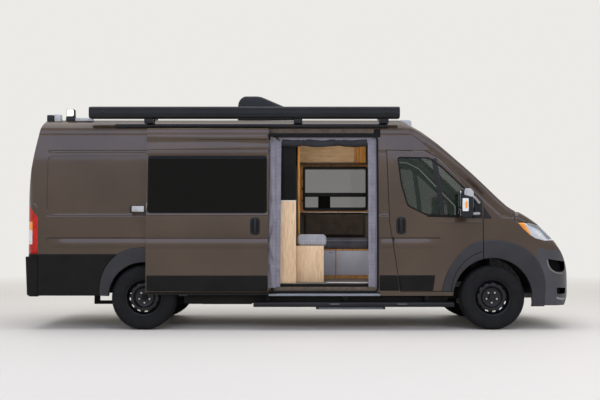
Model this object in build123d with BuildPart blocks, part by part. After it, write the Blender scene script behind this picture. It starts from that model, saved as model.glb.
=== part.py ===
from math import hypot, sqrt
import os

from build123d import *

os.makedirs("parts", exist_ok=True)

# Camper van on a long front-wheel-drive panel van body. +X forward, +Y left, +Z up, millimetres.
# Places ahead of an axle are written front(x) or rear(x), heights are above the ground.

# driving sizes of the whole van
overall_length = 6400
rear_overhang = 1380
front_overhang = 984
wheelbase = overall_length - rear_overhang - front_overhang
half_width = 1012
sill_half_width = 985
roof_edge_half_width = 945
roof_height = 2520
body_bottom = 393
load_floor = 533
floor_thickness = 60
wall = 62
skin = 20
panel_gap = 8
seat_gap = 0.3
rear_axle_x = rear_overhang - overall_length / 2
front_axle_x = rear_axle_x + wheelbase

# heights along the body side
waist = 1100
shoulder = roof_height - 260
roof_joint = roof_height - 145
gutter_half_width = 905
crown_start = 790
crown_start_height = roof_height - 68
pillar_round = 90
screen_foot = (-33, 1672)
ledge_height = 1365
hull_floor = 270

# wheels
tyre_radius = 372
tyre_width = 225
tyre_shoulder = 34
wheel_centre_height = tyre_radius
wheel_track = 1790
rim_radius = 205
rim_width = 178
hub_radius = 33

# wheel openings
front_arch_radius = 457
rear_arch_radius = 408
flare_proud = 13
liner_thickness = 12
door_room = 30
front_liner_reach = 935
front_liner_inboard = 560
rear_liner_inboard = 640

# doors
front_door_edge = front_axle_x - 111
rear_door_half_width = 781
rear_door_top = roof_height - 195
rear_door_bottom = 545
door_step = 16
hinge_height = 70
rear_hinge_heights = (760, 1400, roof_height - 480)
front_hinge_heights = (890, 1210)
split_half_width = 700
groove = 8


def front(x):
    return front_axle_x + x


def rear(x):
    return rear_axle_x + x


# body shape


def section(inset, start, end):
    """The body's cross section, run along X from start to end."""
    with BuildPart() as prism:
        with BuildSketch(Plane.YZ.offset(start)):
            with BuildLine():
                base = Line((0, hull_floor), (sill_half_width - inset, hull_floor))
                flank = ThreePointArc(
                    base @ 1, (half_width - inset, waist), (roof_edge_half_width - inset, shoulder)
                )
                corner = ThreePointArc(
                    flank @ 1,
                    (gutter_half_width - inset * 0.8, roof_joint + 10 - inset * 0.6),
                    (crown_start - inset * 0.3, crown_start_height - inset),
                )
                ThreePointArc(
                    corner @ 1,
                    (crown_start / 2, (crown_start_height + 3 * roof_height) / 4 - inset),
                    (0, roof_height - inset),
                )
                mirror(about=Plane.YZ)
            make_face()
        extrude(amount=end - start)
    return prism.part


def cab_volume(inset, rounded):
    """Windscreen and roof, turned about an upright axis, run back into the box of the body."""
    turn_x = front(-2836)
    screen_top = roof_height - 175
    screen_top_x = screen_foot[0] + screen_foot[1] - screen_top
    with BuildPart() as cab:
        with BuildSketch(Plane.XZ):
            with BuildLine():
                screen = Polyline(
                    (turn_x, hull_floor),
                    (front(564), hull_floor),
                    (front(664 - inset), 1000),
                    (front(screen_foot[0] - 1.4 * inset), screen_foot[1]),
                    (front(screen_top_x - 1.4 * inset), screen_top),
                )
                header = ThreePointArc(
                    screen @ 1,
                    (front(screen_top_x - 240 - inset), roof_height - 42 - inset),
                    (front(screen_top_x - 630 - inset), roof_height + 10 - inset),
                )
                Polyline(header @ 1, (turn_x, roof_height + 10 - inset), (turn_x, hull_floor))
            make_face()
        revolve(axis=Axis((turn_x, 0, 0), (0, 0, 1)))
        with Locations((rear(-1500), 0, hull_floor)):
            Box(
                turn_x - rear(-1500),
                2.4 * half_width,
                roof_height + 10 - inset - hull_floor,
                align=(Align.MIN, Align.CENTER, Align.MIN),
            )
        add(section(inset, rear(-1600), front(1300)), mode=Mode.INTERSECT)
        pillars = [
            edge
            for edge in cab.edges().filter_by(GeomType.BSPLINE)
            if abs(edge.center().Y) > split_half_width and edge.center().Z > hull_floor + 750
        ]
        if rounded:
            fillet(pillars, pillar_round - inset)
    return cab.part


def nose_volume(inset, rounded):
    """Bonnet and bumper, turned about an upright axis over the rear axle."""
    turn_x = front(-4036)
    with BuildPart() as nose:
        with BuildSketch(Plane.XZ):
            with BuildLine():
                under = Line((turn_x, hull_floor), (front(924 - inset), hull_floor))
                chin = ThreePointArc(
                    under @ 1,
                    (front(front_overhang - 7 - inset), 420),
                    (front(front_overhang - 5 - inset), 560),
                )
                face = ThreePointArc(
                    chin @ 1,
                    (front(front_overhang - 55 - inset), 830),
                    (front(front_overhang - 180 - inset * 0.9), ledge_height - 320 - inset * 0.5),
                )
                brow = ThreePointArc(
                    face @ 1,
                    (front(front_overhang - 330 - inset * 0.7), ledge_height - 165 - inset * 0.7),
                    (front(front_overhang - 570 - inset * 0.5), ledge_height - inset),
                )
                Polyline(brow @ 1, (turn_x, ledge_height - inset), (turn_x, hull_floor))
            make_face()
        revolve(axis=Axis((turn_x, 0, 0), (0, 0, 1)))
        add(section(inset, front(-1000), front(1300)), mode=Mode.INTERSECT)
        shoulders = [
            edge
            for edge in nose.edges()
            if abs(edge.center().Y) > split_half_width and edge.bounding_box().min.Z > 500
        ]
        if rounded:
            fillet(shoulders, pillar_round - inset)
    return nose.part


def hull(inset, rounded=True):
    """The whole outside of the van, drawn in by inset."""
    lean_top = roof_height - 230
    with BuildPart() as volume:
        add(cab_volume(inset, rounded))
        add(nose_volume(inset, rounded))
        with BuildSketch(Plane.XZ):
            with BuildLine():
                base = Line((front(1400), hull_floor), (rear(-1362 + inset), hull_floor))
                tail = Line(base @ 1, (rear(-1362 + inset), waist))
                lean = ThreePointArc(
                    tail @ 1,
                    (rear(-1330 + inset), (waist + lean_top) / 2 + 55),
                    (rear(-1235 + inset), lean_top),
                )
                lip = ThreePointArc(
                    lean @ 1,
                    (rear(-1185 + inset), lean_top + 130 - inset * 0.5),
                    (rear(-1060 + inset), roof_height + 10 - inset),
                )
                Polyline(lip @ 1, (front(1400), roof_height + 40 - inset), (front(1400), hull_floor))
            make_face()
        extrude(amount=1.3 * half_width, both=True, mode=Mode.INTERSECT)
        with BuildSketch(Plane.XY):
            with BuildLine():
                back = Polyline(
                    (rear(-1600), 0),
                    (rear(-1600), 870 - inset),
                    (rear(-1364 + inset), 870 - inset),
                )
                heel = TangentArc([back @ 1, (rear(-1214 + inset), half_width + 8 - inset)], tangent=(0, 1))
                flank = Line(heel @ 1, (front(593), half_width + 8 - inset))
                cheek = TangentArc([flank @ 1, (front(930 - inset), 727 - inset)], tangent=(1, 0))
                Line(cheek @ 1, (front(1034 - inset), 0))
                mirror(about=Plane.XZ)
            make_face()
        extrude(amount=1.2 * roof_height, mode=Mode.INTERSECT)
    return volume.part


outer = hull(0)
groove_floor = hull(groove)
skinned = hull(skin)
hollow = hull(wall, rounded=False)
proud = hull(-flare_proud, rounded=False)


def save(part, name):
    part.label = name
    export_step(part, f"parts/{name}.step")
    return part


def across(outline, near, far, rounding=0):
    """A side-view outline (x, z) with rounded corners, run along Y from near to far."""
    with BuildPart() as prism:
        with BuildSketch(Plane.XZ.offset(-max(near, far))) as face:
            with BuildLine():
                Polyline(*outline, close=True)
            make_face()
            if rounding:
                fillet(face.vertices(), rounding)
        extrude(amount=abs(near - far))
    return prism.part


def grown(outline, distance, near, far, rounding=0):
    """The same outline grown by distance, or shrunk where it is negative."""
    with BuildPart() as prism:
        with BuildSketch(Plane.XZ.offset(-max(near, far))) as face:
            with BuildLine():
                Polyline(*outline, close=True)
            make_face()
            if rounding:
                fillet(face.vertices(), rounding)
            offset(amount=distance, kind=Kind.INTERSECTION)
        extrude(amount=abs(near - far))
    return prism.part


def block(x0, x1, y0, y1, z0, z1):
    with BuildPart() as solid:
        with Locations(((x0 + x1) / 2, (y0 + y1) / 2, (z0 + z1) / 2)):
            Box(x1 - x0, y1 - y0, z1 - z0)
    return solid.part


def left(part):
    """The same piece on the other side of the van."""
    return mirror(part, about=Plane.XZ)


def lengthwise(outline, start, end, rounding=0):
    """A front-view outline (y, z) with rounded corners, run along X from start to end."""
    with BuildPart() as prism:
        with BuildSketch(Plane.YZ.offset(start)) as face:
            with BuildLine():
                Polyline(*outline, close=True)
            make_face()
            if rounding:
                fillet(face.vertices(), rounding)
        extrude(amount=end - start)
    return prism.part


def roller(centre_x, centre_z, radius, near, far):
    """A cylinder along Y."""
    with BuildPart() as drum:
        with BuildSketch(Plane.XZ.offset(-max(near, far))):
            with Locations((centre_x, centre_z)):
                Circle(radius)
        extrude(amount=abs(near - far))
    return drum.part


def post(centre_x, centre_y, radius, low, high):
    """A cylinder along Z."""
    with BuildPart() as drum:
        with BuildSketch(Plane.XY.offset(low)):
            with Locations((centre_x, centre_y)):
                Circle(radius)
        extrude(amount=high - low)
    return drum.part


far_out = 1.3 * half_width
tail_end = rear(-1500)
nose_end = front(1300)
sky = 2 * roof_height

# openings and seams, seen from the side as (x, z)
front_door_outline = [
    (front_door_edge, 448),
    (front_door_edge, 1480),
    (front(-610), roof_height - 532),
    (front(-764), roof_height - 450),
    (front(-1215), roof_height - 438),
    (front(-1186), 1257),
    (front(-1062), 448),
]
front_window_outline = [
    (front(-1098), roof_height - 512),
    (front(-725), roof_height - 520),
    (front(-572), roof_height - 627),
    (front(-165), 1500),
    (front(-165), 1303),
    (front(-764), 1320),
    (front(-985), 1430),
    (front(-1060), 1690),
]
side_opening_rear = front(-2566)
side_opening_front = front(-1315)
side_opening_top = roof_height - 262
side_sill = 430
side_opening_outline = [
    (side_opening_rear, side_sill),
    (side_opening_rear, side_opening_top),
    (side_opening_front, side_opening_top),
    (side_opening_front, side_sill),
]
sliding_door_outline = [
    (front(-4003), 412),
    (front(-4003), roof_height - 181),
    (front(-2590), roof_height - 181),
    (front(-2590), 412),
]
bonnet_seam = [
    (front(262), ledge_height - 113),
    (front(314), ledge_height - 118),
    (front(434), ledge_height - 126),
    (front(555), ledge_height - 156),
    (front(645), ledge_height - 209),
    (front(706), ledge_height - 276),
    (front(732), ledge_height - 321),
]
lamp_lower_edge = [
    (front(728), ledge_height - 329),
    (front(659), ledge_height - 337),
    (front(594), ledge_height - 333),
    (front(495), ledge_height - 307),
    (front(434), ledge_height - 269),
    (front(359), ledge_height - 201),
    (front(295), ledge_height - 130),
]
bumper_edge = [
    (front(519), 955),
    (front(505), 816),
    (front(581), 624),
    (front(600), 393),
    (front(600), 200),
]
wing_joint_height = ledge_height - 35
bumper_top_height = 912
scuttle_radius = 3248
scuttle_turn_x = front(-2836)

slid_glass_outline = [
    (front(-3985), 1346),
    (front(-3985), roof_height - 512),
    (front(-2608), roof_height - 512),
    (front(-2608), 1346),
]

# openings cut through both sides
front_arch = roller(front_axle_x, wheel_centre_height, front_arch_radius, -far_out, far_out)
rear_arch = roller(rear_axle_x, wheel_centre_height, rear_arch_radius, -far_out, far_out)
scuttle_disc = post(scuttle_turn_x, 0, scuttle_radius - panel_gap / 2, hull_floor, sky)
screen_cut_low = wing_joint_height + 78
screen_cut_high = roof_height - 195
windscreen_cut = lengthwise(
    [(-870, screen_cut_low), (870, screen_cut_low), (800, screen_cut_high), (-800, screen_cut_high)],
    front(-1100),
    nose_end,
    rounding=70,
)
rear_opening = block(
    tail_end,
    rear(-1100),
    -rear_door_half_width - panel_gap,
    rear_door_half_width + panel_gap,
    rear_door_bottom - panel_gap,
    rear_door_top + panel_gap,
)
front_opening = grown(front_door_outline, panel_gap, 0, -far_out)
tail_lamp_outline = [
    (tail_end, 878),
    (rear(-1227), 878),
    (rear(-1227), 1400),
    (rear(-1262), 1460),
    (tail_end, 1460),
]
tail_lamp_inner = 818
rear_cladding_height = 874
rear_bumper_edge = rear(-1228)
bumper_step_height = 530

with BuildPart() as shell:
    add(outer)
    add(hollow, mode=Mode.SUBTRACT)

# lines pressed along the sides, as (top edge, deepest line, foot, depth)
low_swage = (1066, 1056, 980, 9)
belt_swage = (1341, 1336, 1308, 6)
high_swage = (roof_height - 434, roof_height - 442, roof_height - 470, 6)
swage_rear = rear(-1124)
swage_end_on_door = front(-606)


def flank_y(height):
    """Half width of the body at a height, on the arc of its section."""
    (y1, z1), (y2, z2), (y3, z3) = (
        (sill_half_width, hull_floor),
        (half_width, waist),
        (roof_edge_half_width, shoulder),
    )
    first, second, third = y1**2 + z1**2, y2**2 + z2**2, y3**2 + z3**2
    double_area = 2 * (y1 * (z2 - z3) + y2 * (z3 - z1) + y3 * (z1 - z2))
    centre_y = (first * (z2 - z3) + second * (z3 - z1) + third * (z1 - z2)) / double_area
    centre_z = (first * (y3 - y2) + second * (y1 - y3) + third * (y2 - y1)) / double_area
    return centre_y + sqrt(hypot(y1 - centre_y, z1 - centre_z) ** 2 - (height - centre_z) ** 2)


def swage(line, start, end):
    """The wedge that one pressed line takes out of the right side."""
    top, deepest, foot, depth = line
    return lengthwise(
        [
            (-far_out, top),
            (-flank_y(top), top),
            (depth - flank_y(deepest), deepest),
            (-flank_y(foot), foot),
            (-far_out, foot),
        ],
        start,
        end,
    )


def blank(outline, near, far):
    """A window's place pressed into the body side, one groove deep."""
    with BuildPart() as recess:
        add(across(outline, near, far, rounding=60))
        add(groove_floor, mode=Mode.SUBTRACT)
    return recess.part


rear_blank_outline = [
    (rear(-1128), 1375),
    (rear(-1128), roof_height - 502),
    (front(-4040), roof_height - 502),
    (front(-4040), 1375),
]

# body sides: rear corner, door pillars, sill and windscreen pillar in one panel,
# with hinge brackets that reach into the rear door's jamb
with BuildPart() as jamb:
    for height in rear_hinge_heights:
        add(
            block(
                tail_end,
                rear(-1000),
                -rear_door_half_width - panel_gap - 1,
                -rear_door_half_width + door_step - seat_gap,
                height - hinge_height / 2,
                height + hinge_height / 2,
            )
        )
    add(skinned, mode=Mode.INTERSECT)
    add(hollow, mode=Mode.SUBTRACT)
with BuildPart() as side_blank:
    add(shell.part)
    add(
        across(
            [
                (tail_end, body_bottom),
                (front_door_edge + panel_gap, body_bottom),
                (front_door_edge + panel_gap, wing_joint_height),
                (front(700), wing_joint_height),
                (front(-300), roof_joint),
                (tail_end, roof_joint),
            ],
            -split_half_width,
            -far_out,
        ),
        mode=Mode.INTERSECT,
    )
    add(scuttle_disc, mode=Mode.INTERSECT)
    add(windscreen_cut, mode=Mode.SUBTRACT)
    add(rear_opening, mode=Mode.SUBTRACT)
    add(front_opening, mode=Mode.SUBTRACT)
    add(rear_arch, mode=Mode.SUBTRACT)
    add(front_arch, mode=Mode.SUBTRACT)
    add(across(tail_lamp_outline, -tail_lamp_inner, -far_out), mode=Mode.SUBTRACT)
    add(
        across(
            [
                (tail_end, hull_floor),
                (rear_bumper_edge, hull_floor),
                (rear_bumper_edge, rear_cladding_height),
                (tail_end, rear_cladding_height),
            ],
            -tail_lamp_inner,
            -far_out,
        ),
        mode=Mode.SUBTRACT,
    )
    add(
        block(tail_end, rear_bumper_edge, -far_out, far_out, 0, bumper_step_height),
        mode=Mode.SUBTRACT,
    )
    for line in (low_swage, belt_swage, high_swage):
        add(swage(line, swage_rear, front_door_edge), mode=Mode.SUBTRACT)
    add(blank(rear_blank_outline, -split_half_width, -far_out), mode=Mode.SUBTRACT)
    add(jamb.part)

with BuildPart() as body_side_right:
    add(side_blank.part)
    add(across(side_opening_outline, -split_half_width, -far_out, rounding=60), mode=Mode.SUBTRACT)
save(body_side_right.part, "body_side_right")

far_window_outline = [
    (front(-2190), 1450),
    (front(-2190), roof_height - 520),
    (front(-1310), roof_height - 520),
    (front(-1310), 1450),
]
with BuildPart() as body_side_left:
    add(left(side_blank.part))
    add(across(far_window_outline, split_half_width, far_out, rounding=50), mode=Mode.SUBTRACT)
    add(blank(slid_glass_outline, split_half_width, far_out), mode=Mode.SUBTRACT)
save(body_side_left.part, "body_side_left")

# roof with the headers over the windscreen and the rear doors
with BuildPart() as roof_panel:
    add(block(tail_end, nose_end, -far_out, far_out, roof_joint, sky))
    add(block(tail_end, nose_end, -split_half_width, split_half_width, rear_door_top - 40, sky))
    add(shell.part, mode=Mode.INTERSECT)
    add(windscreen_cut, mode=Mode.SUBTRACT)
    add(rear_opening, mode=Mode.SUBTRACT)
save(roof_panel.part, "roof_panel")

# glass in the windscreen
with BuildPart() as windscreen:
    add(outer)
    add(groove_floor, mode=Mode.SUBTRACT)
    add(windscreen_cut, mode=Mode.INTERSECT)
save(windscreen.part, "windscreen")

# wings and the strip under the headlamps, one body-coloured panel round the front
buffer_x = front(754)
buffer_y = 600
buffer_radius = 7
buffer_foot = bonnet_seam[-1][1] - 14
with BuildPart() as front_panels:
    add(outer)
    add(skinned, mode=Mode.SUBTRACT)
    add(
        across(
            [
                (front_door_edge + panel_gap, body_bottom),
                (front_door_edge + panel_gap, wing_joint_height),
                (front(254), wing_joint_height),
                (front(254), ledge_height - 115),
            ]
            + lamp_lower_edge[::-1]
            + [(nose_end, lamp_lower_edge[0][1]), (nose_end, bumper_top_height), (front(620), 925)]
            + bumper_edge,
            far_out,
            -far_out,
        ),
        mode=Mode.INTERSECT,
    )
    add(front_arch, mode=Mode.SUBTRACT)
    # rubber buffers that the shut bonnet rests on
    with Locations([(buffer_x, side * buffer_y, buffer_foot) for side in (-1, 1)]):
        Cylinder(
            buffer_radius,
            bonnet_seam[-1][1] + panel_gap / 2 - seat_gap - buffer_foot,
            align=(Align.CENTER, Align.CENTER, Align.MIN),
        )
save(front_panels.part, "front_panels")

# bumper with its grille opening, low intake and lamp recesses
grille_outline = [(-610, 905), (610, 905), (560, 690), (-560, 690)]
intake_outline = [(-540, 560), (540, 560), (500, 430), (-500, 430)]
bumper_bottom = 282
with BuildPart() as front_bumper:
    add(outer)
    add(hollow, mode=Mode.SUBTRACT)
    add(
        across(
            [(x + seat_gap, z - seat_gap) for x, z in bumper_edge]
            + [(nose_end, 200), (nose_end, bumper_top_height - seat_gap), (front(620), 925 - seat_gap)],
            far_out,
            -far_out,
        ),
        mode=Mode.INTERSECT,
    )
    add(block(front_axle_x, nose_end, -far_out, far_out, bumper_bottom, 1000), mode=Mode.INTERSECT)
    add(lengthwise(grille_outline, front(700), nose_end, rounding=30), mode=Mode.SUBTRACT)
    add(lengthwise(intake_outline, front(700), nose_end, rounding=20), mode=Mode.SUBTRACT)
    for side in (-1, 1):
        with Locations((front(880), side * 760, 470)):
            Cylinder(46, 200, rotation=(0, 90, 0), mode=Mode.SUBTRACT)
    add(front_arch, mode=Mode.SUBTRACT)
save(front_bumper.part, "front_bumper")

# grille bars: slats across the openings, tied by uprights
slat_thickness = 9
slat_depth = 34
with BuildPart() as grille:
    with Locations([(0, 0, z) for z in (720, 760, 800, 840, 880, 450, 495, 540)]):
        Box(8000, 2 * far_out, slat_thickness)
    with Locations([(0, y, 0) for y in (-540, -270, 0, 270, 540)]):
        Box(8000, 14, 4000)
    add(lengthwise(grille_outline, front(700), nose_end, rounding=30), mode=Mode.INTERSECT)
with BuildPart() as intake_bars:
    with Locations([(0, 0, z) for z in (458, 495, 532)]):
        Box(8000, 2 * far_out, slat_thickness)
    with Locations([(0, y, 0) for y in (-400, -200, 0, 200, 400)]):
        Box(8000, 14, 4000)
    add(lengthwise(intake_outline, front(700), nose_end, rounding=20), mode=Mode.INTERSECT)
with BuildPart() as grille_set:
    add(grille.part)
    add(intake_bars.part)
    add(groove_floor, mode=Mode.INTERSECT)
    add(hollow, mode=Mode.SUBTRACT)
save(grille_set.part, "grille")

# headlamps between the bonnet seam and the wing
lamp_inner = 520
with BuildPart() as headlamps:
    add(shell.part)
    add(
        across(
            [(front(297), ledge_height - 127)]
            + [(x, z - panel_gap / 2) for x, z in bonnet_seam[2:]]
            + [(x, z + seat_gap) for x, z in lamp_lower_edge[:-1]],
            far_out,
            -far_out,
        ),
        mode=Mode.INTERSECT,
    )
    add(block(front_axle_x, nose_end, -lamp_inner, lamp_inner, 0, sky), mode=Mode.SUBTRACT)
save(headlamps.part, "headlamps")

# bonnet, hinged along its rear edge
bonnet_sky = ledge_height + 135
with BuildPart() as bonnet:
    add(outer)
    add(skinned, mode=Mode.SUBTRACT)
    add(
        across(
            [(x, z + panel_gap / 2) for x, z in bonnet_seam]
            + [
                (nose_end, bonnet_seam[-1][1] + panel_gap / 2),
                (nose_end, bonnet_sky),
                (front(100), bonnet_sky),
                (front(100), wing_joint_height + panel_gap),
                (front(262), wing_joint_height + panel_gap),
            ],
            far_out,
            -far_out,
        ),
        mode=Mode.INTERSECT,
    )
    add(post(scuttle_turn_x, 0, scuttle_radius + panel_gap / 2, hull_floor, sky), mode=Mode.SUBTRACT)
save(bonnet.part, "bonnet")

# bulkhead behind the engine and the scuttle panel under the windscreen
bulkhead_x = front(-60)
bulkhead_thickness = 40
with BuildPart() as front_bulkhead:
    add(shell.part)
    add(
        block(front(150), nose_end, -split_half_width, split_half_width, wing_joint_height, sky),
        mode=Mode.INTERSECT,
    )
    add(scuttle_disc, mode=Mode.INTERSECT)
    add(windscreen_cut, mode=Mode.SUBTRACT)
with BuildPart() as bulkhead_wall:
    add(
        block(
            bulkhead_x,
            bulkhead_x + bulkhead_thickness,
            -far_out,
            far_out,
            load_floor - floor_thickness,
            wing_joint_height,
        )
    )
    add(
        block(
            bulkhead_x,
            front(300),
            -split_half_width,
            split_half_width,
            wing_joint_height - 30,
            wing_joint_height,
        )
    )
    add(hollow, mode=Mode.INTERSECT)
    for side in (-1, 1):
        add(
            roller(
                front_axle_x,
                wheel_centre_height,
                front_arch_radius + liner_thickness + seat_gap,
                side * far_out,
                side * front_liner_inboard,
            ),
            mode=Mode.SUBTRACT,
        )
    # hinge brackets that reach into the front doors' jambs
    for side in (-1, 1):
        with Locations([(bulkhead_x + 10, side * 955, height) for height in front_hinge_heights]):
            Box(
                bulkhead_x + 10 - (front_door_edge - door_step + seat_gap),
                44,
                hinge_height,
                align=(Align.MAX, Align.CENTER, Align.CENTER),
            )
with BuildPart() as bulkhead_and_scuttle:
    add(front_bulkhead.part)
    add(bulkhead_wall.part)
save(bulkhead_and_scuttle.part, "front_bulkhead")

# tail lamps set into the rear corners
with BuildPart() as tail_lamps:
    add(shell.part)
    add(grown(tail_lamp_outline, -seat_gap, far_out, -far_out), mode=Mode.INTERSECT)
    add(
        block(tail_end, nose_end, -tail_lamp_inner - seat_gap, tail_lamp_inner + seat_gap, 0, sky),
        mode=Mode.SUBTRACT,
    )
save(tail_lamps.part, "tail_lamps")

# rear bumper: beam under the doors, corners up to the lamps, step plate
rear_bumper_bottom = body_bottom - 9
with BuildPart() as rear_bumper:
    add(
        block(
            tail_end,
            rear_bumper_edge - seat_gap,
            -far_out,
            far_out,
            rear_bumper_bottom,
            bumper_step_height - seat_gap,
        )
    )
    for side in (-1, 1):
        with Locations((tail_end, side * far_out, 0)):
            Box(
                2 * (rear_bumper_edge - seat_gap - tail_end),
                2 * (far_out - tail_lamp_inner),
                2 * (rear_cladding_height - seat_gap),
            )
    add(shell.part, mode=Mode.INTERSECT)
    add(block(tail_end, nose_end, -far_out, far_out, 0, rear_bumper_bottom), mode=Mode.SUBTRACT)
    with Locations((-overall_length / 2, 0, 465)):
        Box(30, 1240, 110, align=(Align.MIN, Align.CENTER, Align.CENTER))
save(rear_bumper.part, "rear_bumper")


def arch_flare(axle_x, foot, top, front_hip, front_foot):
    """Side view of a flare as three arcs over the wheel; each point is (x from the axle, height)."""
    with BuildPart() as prism:
        with BuildSketch(Plane.XZ.offset(split_half_width)):
            with BuildLine():
                first = ThreePointArc(*[(axle_x + x, z) for x, z in foot])
                second = ThreePointArc(first @ 1, *[(axle_x + x, z) for x, z in (top, front_hip[0])])
                third = ThreePointArc(second @ 1, *[(axle_x + x, z) for x, z in (front_hip[1], front_foot)])
                Line(third @ 1, first @ 0)
            make_face()
        extrude(amount=far_out - split_half_width)
    return prism.part


front_flare = arch_flare(
    front_axle_x,
    [(-590, 393), (-494, 720), (-225, 1000)],
    (5, 1037),
    [(225, 1008), (494, 830)],
    (600, 393),
)
rear_flare = arch_flare(
    rear_axle_x,
    [(-507, 393), (-440, 720), (-260, 905)],
    (0, 950),
    [(260, 905), (440, 720)],
    (507, 393),
)
with BuildPart() as skin_layer:
    add(proud)
    add(outer, mode=Mode.SUBTRACT)

# flares and lower cladding that stay on the body, lapped on its outside,
# with rub panels on the pillar behind the front door and along the far side
cladding_top = 874
rub_low, rub_high = 450, 632
pillar_panel_outline = [
    (side_opening_front + 6, rub_low),
    (side_opening_front + 6, rub_high),
    (front(-1101), rub_high),
    (front(-1074), rub_low),
]
far_panel_outline = [
    (rear(545), rub_low),
    (rear(515), rub_high),
    (front(-1101), rub_high),
    (front(-1074), rub_low),
]
with BuildPart() as trim_right:
    add(front_flare)
    add(
        block(tail_end, front_door_edge + panel_gap, -far_out, -split_half_width, 0, sky),
        mode=Mode.SUBTRACT,
    )
    add(rear_flare)
    add(block(rear_bumper_edge + seat_gap, rear(-420), -far_out, -split_half_width, 399, cladding_top))
    add(front_arch, mode=Mode.SUBTRACT)
    add(rear_arch, mode=Mode.SUBTRACT)
    add(skin_layer.part, mode=Mode.INTERSECT)
with BuildPart() as rub_panels:
    add(across(pillar_panel_outline, -split_half_width, -far_out))
    add(across(far_panel_outline, split_half_width, far_out))
    add(skin_layer.part, mode=Mode.INTERSECT)
with BuildPart() as side_trim:
    add(trim_right.part)
    add(left(trim_right.part))
    add(rub_panels.part)
save(side_trim.part, "side_trim")

# half-round liners over the wheels, closed inboard over the rear wheels,
# kept inside the skin and clear of the front doors' edges
with BuildPart() as liner_room:
    add(skinned)
    add(block(tail_end, front_door_edge + door_room, -far_out, far_out, 0, sky), mode=Mode.SUBTRACT)
    add(hollow)
    for side in (-1, 1):
        with Locations((front_door_edge + door_room, side * front_liner_reach, 0)):
            Box(
                500,
                far_out,
                sky,
                align=(Align.MAX, Align.MIN if side > 0 else Align.MAX, Align.MIN),
                mode=Mode.SUBTRACT,
            )


def arch_liner(axle_x, radius, inboard, closed):
    with BuildPart() as liner:
        with BuildSketch(Plane.XZ.offset(inboard)):
            with Locations((axle_x, wheel_centre_height)):
                Circle(radius + liner_thickness)
                if not closed:
                    Circle(radius, mode=Mode.SUBTRACT)
        extrude(amount=far_out - inboard)
        if closed:
            with BuildSketch(Plane.XZ.offset(inboard + liner_thickness)):
                with Locations((axle_x, wheel_centre_height)):
                    Circle(radius)
            extrude(amount=far_out, mode=Mode.SUBTRACT)
        add(
            block(tail_end, nose_end, -far_out, far_out, 0, load_floor - floor_thickness),
            mode=Mode.SUBTRACT,
        )
        add(liner_room.part, mode=Mode.INTERSECT)
    return liner.part


front_liner = arch_liner(front_axle_x, front_arch_radius, front_liner_inboard, closed=False)
rear_liner = arch_liner(rear_axle_x, rear_arch_radius, rear_liner_inboard, closed=True)
with BuildPart() as arch_liners:
    for liner in (front_liner, rear_liner):
        add(liner)
        add(left(liner))
save(arch_liners.part, "arch_liners")

# floor slab cut round the wheel boxes
with BuildPart() as floor_pan:
    add(
        block(
            rear(-1290),
            bulkhead_x - seat_gap,
            -far_out,
            far_out,
            load_floor - floor_thickness,
            load_floor,
        )
    )
    add(hollow, mode=Mode.INTERSECT)
    for side in (-1, 1):
        add(
            roller(
                rear_axle_x,
                wheel_centre_height,
                rear_arch_radius + liner_thickness + seat_gap,
                side * (rear_liner_inboard - seat_gap),
                side * far_out,
            ),
            mode=Mode.SUBTRACT,
        )
        add(
            roller(
                front_axle_x,
                wheel_centre_height,
                front_arch_radius + liner_thickness + seat_gap,
                side * (front_liner_inboard - seat_gap),
                side * far_out,
            ),
            mode=Mode.SUBTRACT,
        )
save(floor_pan.part, "floor_pan")


# front doors: outer skin, inner box set in from its edge, window frame


def front_door_shell():
    with BuildPart() as box:
        add(skinned)
        add(hollow, mode=Mode.SUBTRACT)
        add(grown(front_door_outline, -door_step, -split_half_width, -far_out), mode=Mode.INTERSECT)
    with BuildPart() as door:
        add(outer)
        add(skinned, mode=Mode.SUBTRACT)
        add(across(front_door_outline, -split_half_width, -far_out), mode=Mode.INTERSECT)
        add(box.part)
        add(across(front_window_outline, -split_half_width, -far_out, rounding=45), mode=Mode.SUBTRACT)
        add(front_arch, mode=Mode.SUBTRACT)
        add(swage(low_swage, front(-1300), swage_end_on_door), mode=Mode.SUBTRACT)
    return door.part


with BuildPart() as front_door_right:
    add(front_door_shell())
save(front_door_right.part, "front_door_right")
front_door_left = left(front_door_right.part)
save(front_door_left, "front_door_left")

with BuildPart() as front_glass_right:
    add(groove_floor)
    add(skinned, mode=Mode.SUBTRACT)
    add(
        grown(front_window_outline, -seat_gap, -split_half_width, -far_out, rounding=45),
        mode=Mode.INTERSECT,
    )
save(front_glass_right.part, "front_door_right_glass")
save(left(front_glass_right.part), "front_door_left_glass")

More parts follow.
